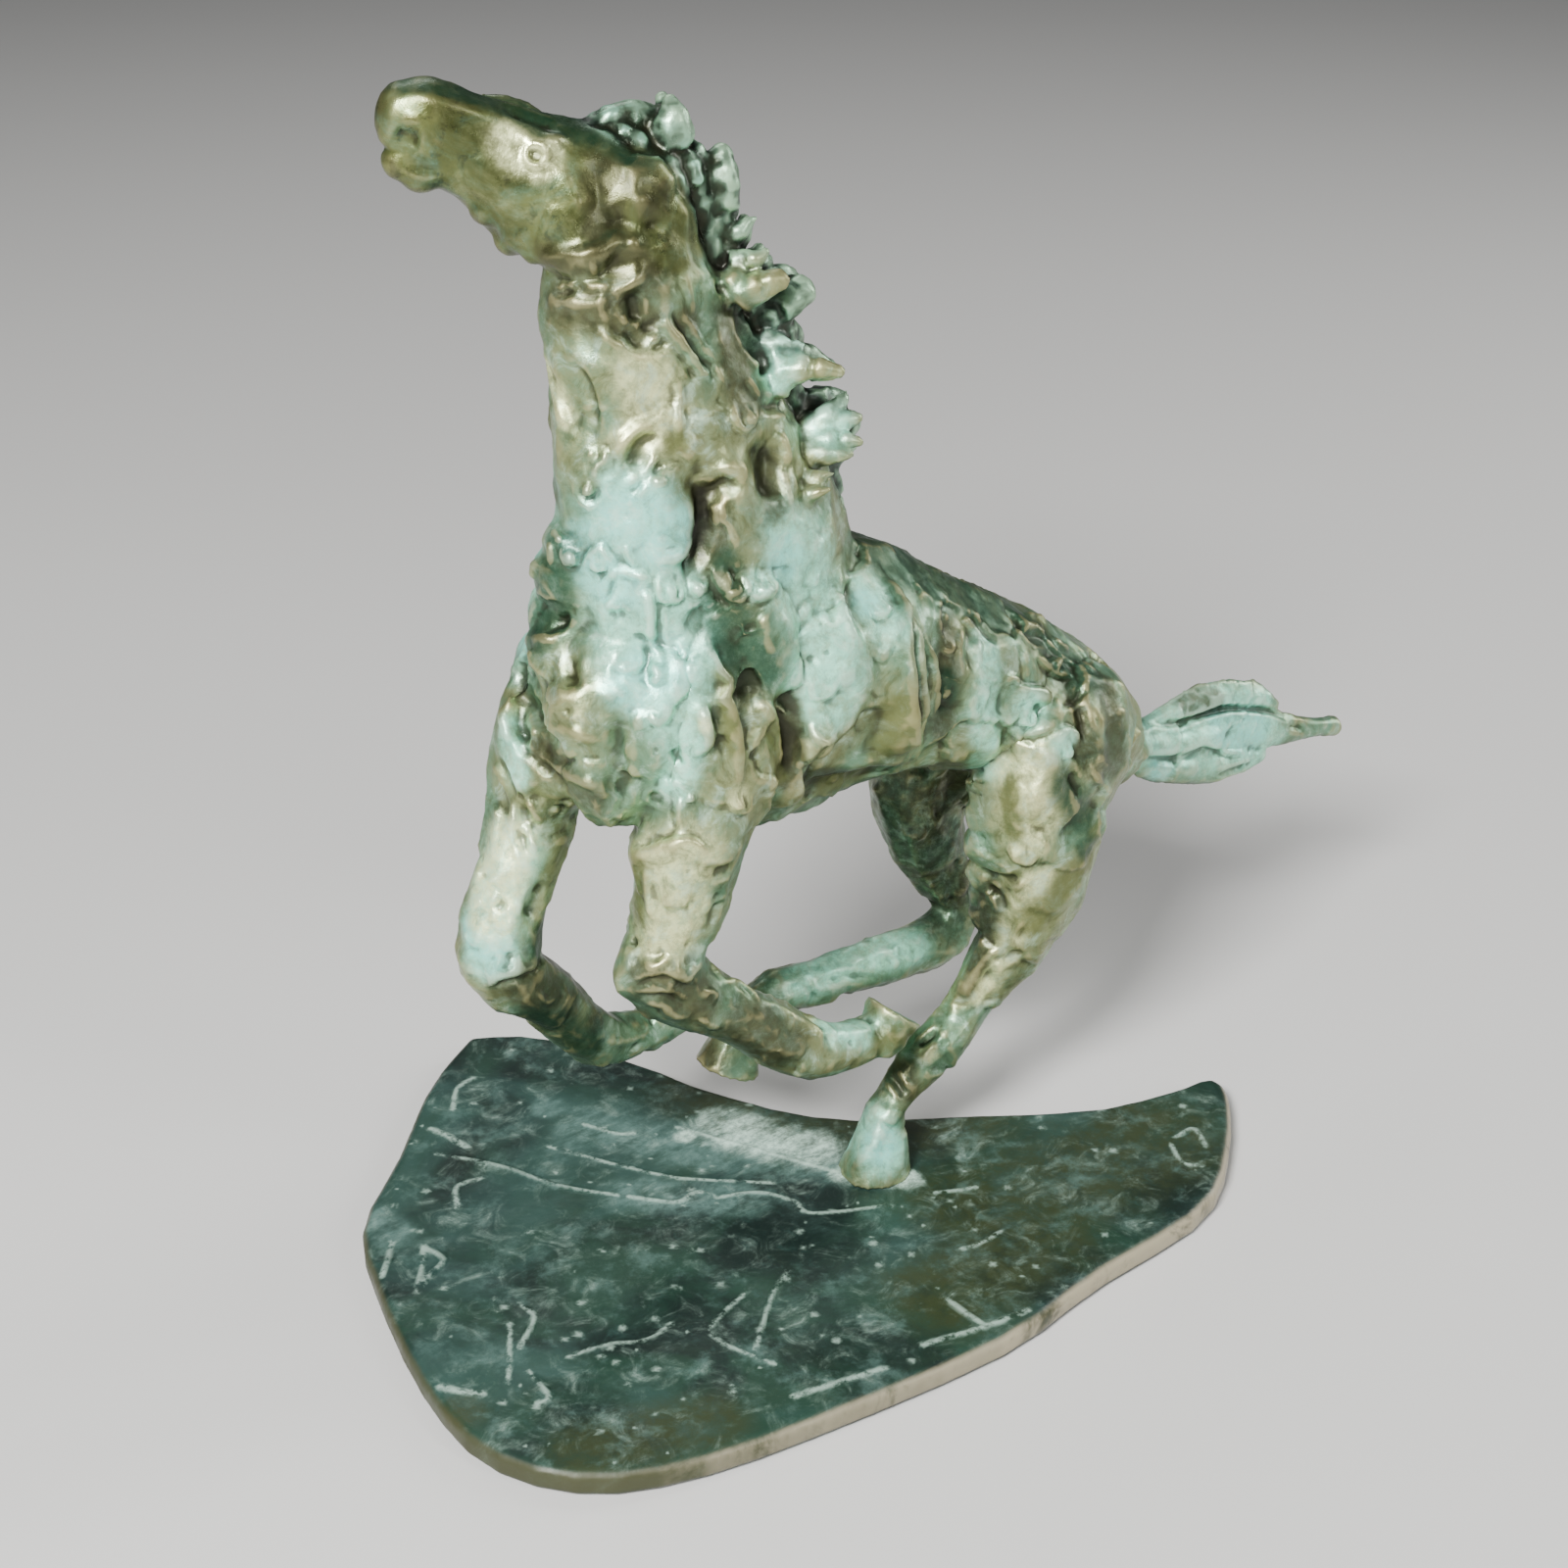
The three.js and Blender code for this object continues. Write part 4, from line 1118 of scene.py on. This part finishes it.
VERDIGRIS = tint(158, 236, 206)
BLUE_VERDIGRIS = tint(138, 228, 212)
# Pale green, for mottles and painted highlights.
PALE_MOTTLE_AND_HIGHLIGHT = tint(204, 240, 214)
TEAL = tint(88, 134, 112)
GREY_GREEN = tint(108, 146, 114)
KHAKI = tint(134, 142, 98)
CREAM = tint(232, 238, 176)
OLIVE = tint(74, 80, 42)
OLIVE_GOLD = tint(100, 106, 58)
DARK_OLIVE = tint(34, 40, 22)
# Pale gold, for wear and painted highlights.
WORN_AND_HIGHLIGHT_BRONZE = tint(188, 180, 128)
BROWN = tint(66, 66, 42)
DARK_BROWN = tint(40, 38, 24)
DARK_GREEN = tint(34, 68, 48)
BLACK_GREEN = tint(28, 40, 32)
MANE_GREEN = tint(104, 134, 112)
# Near black, for grime and painted shade.
GRIME_AND_SHADE = tint(24, 22, 18)
PALE_RIM = tint(160, 152, 128)
PLATE_BLACK = tint(20, 34, 30)
PLATE_GREEN = tint(32, 58, 46)
PLATE_BLUE = tint(46, 74, 68)
PLATE_OLIVE = tint(48, 56, 32)
PLATE_HAZE = tint(94, 124, 116)
PLATE_PALE_AND_REFLECTION = tint(196, 226, 208)


def horse_patina():
    """Grey-green verdigris over brown bronze, darker green on top, darker where sunk from patina and painted
    shade, pale on raised edges from wear and painted highlight, and near black in painted shade.
    """
    s = Shader("horse_patina")
    raised, sunk, head, mane = (s.attribute(name) for name in ("raised", "sunk", "head", "mane"))
    colour = s.blend(s.rise(s.noise(45, 4, 0.6, 0.6), 0.4, 0.6), KHAKI, GREY_GREEN)
    olive = s.blend(s.rise(s.noise(60, 3, 0.5, 0.4), 0.42, 0.6), OLIVE, OLIVE_GOLD)
    olive = s.blend(s.rise(s.noise(190, 4, 0.65, 0.5), 0.54, 0.66, 0.7), olive, DARK_OLIVE)
    colour = s.blend(s.rise(head, 0.3, 0.9), colour, olive)
    pale_tones = (("khaki", KHAKI), ("pale", VERDIGRIS), ("blue", BLUE_VERDIGRIS), ("cream", CREAM))
    for step, (name, shade) in enumerate(pale_tones):
        colour = s.blend(s.tone(name, 50 + 9 * step), colour, shade)
    mottle = s.noise(150, 6, 0.7, 0.8)
    green_share = s.math("MAXIMUM", s.attribute("pale"), s.attribute("blue"))
    colour = s.blend(s.rise(mottle, 0.5, 0.7, 0.65), colour, s.blend(green_share, OLIVE, TEAL))
    below_head = s.math("SUBTRACT", 1.0, head)
    colour = s.blend(s.both(s.rise(mottle, 0.5, 0.32, 0.45), below_head), colour, PALE_MOTTLE_AND_HIGHLIGHT)
    # The brown tone holds painted shadow under the jaw and behind the cheek as well as patina.
    dark_tones = (("brown", BROWN), ("gold", OLIVE_GOLD), ("green", DARK_GREEN))
    for step, (name, shade) in enumerate(dark_tones):
        colour = s.blend(s.tone(name, 85 + 9 * step, least=0.75), colour, shade)
    # The mane: black-green between its locks, partly painted shade, and pale verdigris where it stands out,
    # partly a painted highlight.
    mane_colour = s.blend(s.rise(raised, -0.6, 1.6), BLACK_GREEN, MANE_GREEN)
    mane_colour = s.blend(s.rise(raised, 1.2, 2.6, 0.7), mane_colour, VERDIGRIS)
    colour = s.blend(s.both(mane, 0.9), colour, mane_colour)
    # Painted shade, with the patina's own darker hollows: dark olive where the broad relief is sunk, dark
    # brown in fine creases.
    colour = s.blend(s.rise(sunk, 0.1, 1.8, 0.55), colour, DARK_OLIVE)
    colour = s.blend(s.rise(raised, -0.6, -2.6, 0.55), colour, DARK_BROWN)
    # Paler on raised edges: wear, and a painted highlight as well.
    worn_and_highlight = s.both(s.rise(raised, 0.8, 2.8, 0.38), s.math("SUBTRACT", 1.0, s.both(head, 0.6)))
    colour = s.blend(worn_and_highlight, colour, s.blend(green_share, WORN_AND_HIGHLIGHT_BRONZE, PALE_MOTTLE_AND_HIGHLIGHT))
    # Painted shade, with some grime: near black where nearby skin hems a point in.
    colour = s.blend(s.rise(s.attribute("shade"), 0.12, 0.6, 0.8), colour, GRIME_AND_SHADE)
    # Painted shade along its bands and on the undersides.
    colour = s.blend(s.tone("painted_shade", 60, 1.0, 0.75), colour, GRIME_AND_SHADE)
    metallic = s.rise(green_share, 0.0, 1.0, 0.4, 0.7)
    roughness = s.math("SUBTRACT", s.rise(s.noise(300, 5), 0.35, 0.7, 0.52, 0.32), s.both(head, 0.06))
    s.bump(s.noise(520, 5, 0.7), 0.25 * MM, 0.5)
    return s.finish(colour, metallic, roughness, 0.05)


def plate_patina():
    """Cloudy dark green, olive to the right, with pale scratches, a pale patch by the hoof that is part
    patina and part painted reflection, and a pale rim on the sides except where they face left.
    """
    s = Shader("plate_patina")
    colour = s.blend(s.rise(s.noise(26, 5, 0.6, 0.8), 0.38, 0.62), PLATE_BLACK, PLATE_GREEN)
    colour = s.blend(s.rise(s.noise(17, 5, 0.6, 0.9), 0.46, 0.66, 0.75), colour, PLATE_BLUE)
    colour = s.blend(s.tone("olive", 30), colour, PLATE_OLIVE)
    colour = s.blend(s.rise(s.noise(150, 4, 0.7, 0.4), 0.56, 0.74, 0.4), colour, PLATE_BLUE)
    colour = s.blend(s.rise(s.noise(95, 9, 0.7), 0.5, 0.75, 0.5), colour, PLATE_HAZE)
    dust = s.rise(s.noise(120, 8, 0.75, 0, (0.6, 1.6, 1)), 0.35, 0.62, 1.0, 0.15)
    colour = s.blend(s.both(s.tone("haze", 40, 1.6, 0.9), dust), colour, PLATE_HAZE)
    # The pale patch by the hoof: part patina, part painted reflection.
    colour = s.blend(s.both(s.tone("bloom_and_reflection", 110, 1.7, 1.0, 0.5), dust), colour, PLATE_PALE_AND_REFLECTION)
    scratch = s.both(s.attribute("scratch"), s.rise(s.noise(240, 4, 0.7), 0.38, 0.56))
    colour = s.blend(s.both(scratch, 0.5), colour, PLATE_PALE_AND_REFLECTION)
    colour = s.blend(s.both(s.attribute("edge"), 0.8), colour, BROWN)
    # Pale along the plate's sides, except where they face left.
    rim = s.both(s.attribute("rim"), s.rise(s.noise(45, 5, 0.7, 0.6), 0.3, 0.5))
    colour = s.blend(rim, colour, PALE_RIM)
    roughness = s.rise(s.noise(90, 4), 0.35, 0.7, 0.58, 0.38)
    s.bump(s.noise(700, 3, 0.6), 0.1 * MM, 0.35)
    s.surface.inputs["Specular IOR Level"].default_value = 0.35
    return s.finish(colour, 0.15, roughness, 0.0)


# The plate


PLATE_TONES = {
    "olive": [
        (20, "1000,1230 1100,1200 1180,1160"), (16, "960,1320 1060,1260"), (10, "600,1480 720,1450"),
        (6, "470,1440"),
    ],
    "haze": [
        (9, "600,1150 680,1165 850,1190"), (7, "640,1220 760,1225"), (6, "380,1245 400,1260"),
        (5, "560,1130"),
    ],
    # The pale patch by the hoof is partly a painted reflection.
    "bloom_and_reflection": [(8, "735,1150 790,1165 830,1175"), (4, "860,1197 925,1203"), (3, "700,1160")],
}

# Scratches, runs and edges of old wax on the plate: (width and height in mm, path by pixel)
PLATE_STROKES = [
    (0.9, 0.2, "462,1132 466,1112 480,1101"), (1.4, 0.4, "440,1152 458,1160 477,1171"),
    (0.9, 0.5, "445,1177 510,1190 570,1210 640,1221"), (1.1, 0.5, "640,1221 690,1227 710,1217 732,1222"),
    (0.9, 0.4, "732,1222 775,1217 812,1226"), (0.8, 0.3, "812,1226 830,1238 910,1230"),
    (0.8, 0.3, "595,1147 630,1157 650,1156"), (1.0, 0.4, "467,1232 466,1212 490,1202"),
    (1.1, 0.6, "400,1267 396,1285 390,1302"), (1.1, 0.6, "432,1272 452,1285 440,1300 425,1318"),
    (1.0, 0.5, "425,1318 430,1296 432,1274"), (1.6, 0.3, "450,1415 470,1420 492,1422"),
    (1.3, 0.3, "810,1425 855,1411 902,1396"), (0.8, 0.3, "722,1357 742,1336 760,1320"),
    (0.8, 0.4, "770,1380 788,1322 805,1296"), (0.8, 0.3, "722,1357 740,1372 790,1392"),
    (0.8, 0.4, "580,1385 620,1372 660,1367 686,1350"), (1.2, 0.3, "965,1325 985,1340 1006,1353"),
    (1.3, 0.4, "942,1372 1008,1353 1048,1337"), (0.8, 0.3, "980,1275 1002,1268 1022,1256"),
    (0.9, 0.3, "955,1217 975,1215 996,1211"), (0.9, 0.4, "1200,1160 1218,1152 1231,1170"),
    (0.8, 0.3, "1195,1168 1206,1186 1226,1190"), (0.9, 0.4, "530,1330 545,1345 530,1375"),
    (0.9, 0.4, "540,1400 560,1425 548,1432"), (0.8, 0.3, "520,1350 520,1390 518,1412"),
    (0.9, 0.3, "690,1150 760,1170 850,1195"), (0.8, 0.3, "560,1170 680,1200 790,1207"),
    (1.0, 0.4, "850,1195 880,1205 925,1202"),
]
PLATE_SPECKS = 150


def model_plate():
    """The plate: its CAD form, a little uneven on top, with scratches, runs, specks and a pale rim on its
    sides except where they face left.
    """
    piece = copied("base_plate")
    remesh(piece, PLATE_VOXEL)
    clay = Clay(piece.data)
    clay.relax(4)
    normals = clay.normals()
    waves = fractal(clay.points, 32, 3, 6)
    grain = fractal(clay.points, 170, 2, 8)
    above = smooth_step(0.5 * MM, 3 * MM, clay.points[:, 2])
    clay.points += ((0.25 * waves + 0.07 * grain) * above * MM)[:, None] * normals
    scratch = np.zeros(len(clay.points))
    surface = clay.surface()
    for width, height, path in PLATE_STROKES:
        path = smooth_path(on_skin(surface, pixels(path)))
        stroke(clay, normals, path, width * MM, height * MM, "ridge")
        distance = along_path(clay.points, np.array(path))[0]
        scratch = np.maximum(scratch, 1 - smooth_step(0.3 * width * MM, 1.0 * width * MM, distance))
    random = np.random.default_rng(23)
    for index in random.choice(np.flatnonzero(normals[:, 2] > 0.9), PLATE_SPECKS, replace=False):
        size = random.uniform(0.5, 1.3) * MM
        distance = np.linalg.norm(clay.points - clay.points[index], axis=1)
        scratch = np.maximum(scratch, 0.9 * (1 - smooth_step(0.4 * size, size, distance)))
    clay.points[:, 2] = np.maximum(clay.points[:, 2], 0)
    clay.write()
    store(piece.data, "scratch", scratch)
    facing = clay.blurred(clay.normals(), 1)
    side = smooth_step(0.9, 0.6, facing[:, 2]) * smooth_step(0.5 * MM, 2 * MM, clay.points[:, 2])
    store(piece.data, "rim", side * smooth_step(0.45, -0.1, -facing[:, 0]))
    store(piece.data, "edge", side)
    for tone, spots in PLATE_TONES.items():
        store(piece.data, tone, tone_mask(clay.points, surface, spots))
    thin_out(piece, PLATE_TRIANGLES)
    piece.data.shade_smooth()
    return piece


# Studio

FLOOR_HALF = 8.0
FLOOR_COLOUR = tint(204, 203, 200)
SKY_COLOUR = (0.86, 0.9, 0.95, 1)
SKY_STRENGTH = 0.08
LIGHTS_AIM = (0, 0, 0.13)

# Softboxes: (name, place, width and height in metres, watts)
SOFTBOXES = [
    ("key", (-1.0, -0.55, 1.0), (0.4, 0.34), 50),
    ("front", (0.2, -1.2, 0.7), (0.2, 0.5), 5),
    ("side", (1.1, -0.3, 0.6), (0.25, 0.8), 8),
    ("back", (0.3, 0.9, 1.1), (0.8, 0.25), 2.5),
]


def add_floor():
    mesh = bpy.data.meshes.new("floor")
    corners = [(x * FLOOR_HALF, y * FLOOR_HALF, 0) for x, y in ((-1, -1), (1, -1), (1, 1), (-1, 1))]
    mesh.from_pydata(corners, [], [(0, 1, 2, 3)])
    floor = bpy.data.objects.new("floor", mesh)
    bpy.context.scene.collection.objects.link(floor)
    s = Shader("floor_pale")
    mesh.materials.append(s.finish(FLOOR_COLOUR, 0.0, 0.7, 0.0))


def add_softbox(name, place, size, watts):
    light = bpy.data.lights.new(name, "AREA")
    light.shape = "RECTANGLE"
    light.size, light.size_y = size
    light.energy = watts
    lamp = bpy.data.objects.new(name, light)
    lamp.location = place
    lamp.rotation_euler = (Vector(LIGHTS_AIM) - Vector(place)).to_track_quat("-Z", "Y").to_euler()
    bpy.context.scene.collection.objects.link(lamp)


def add_studio():
    world = bpy.data.worlds.new("studio")
    world.use_nodes = True
    sky = world.node_tree.nodes["Background"]
    sky.inputs["Color"].default_value = SKY_COLOUR
    sky.inputs["Strength"].default_value = SKY_STRENGTH
    bpy.context.scene.world = world
    for softbox in SOFTBOXES:
        add_softbox(*softbox)


horse = model_horse()
horse.data.materials.append(horse_patina())
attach(horse, "root")
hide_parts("horse")

plate = model_plate()
plate.data.materials.append(plate_patina())
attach(plate, "root")
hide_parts("base_plate")

add_floor()
add_studio()
add_camera()
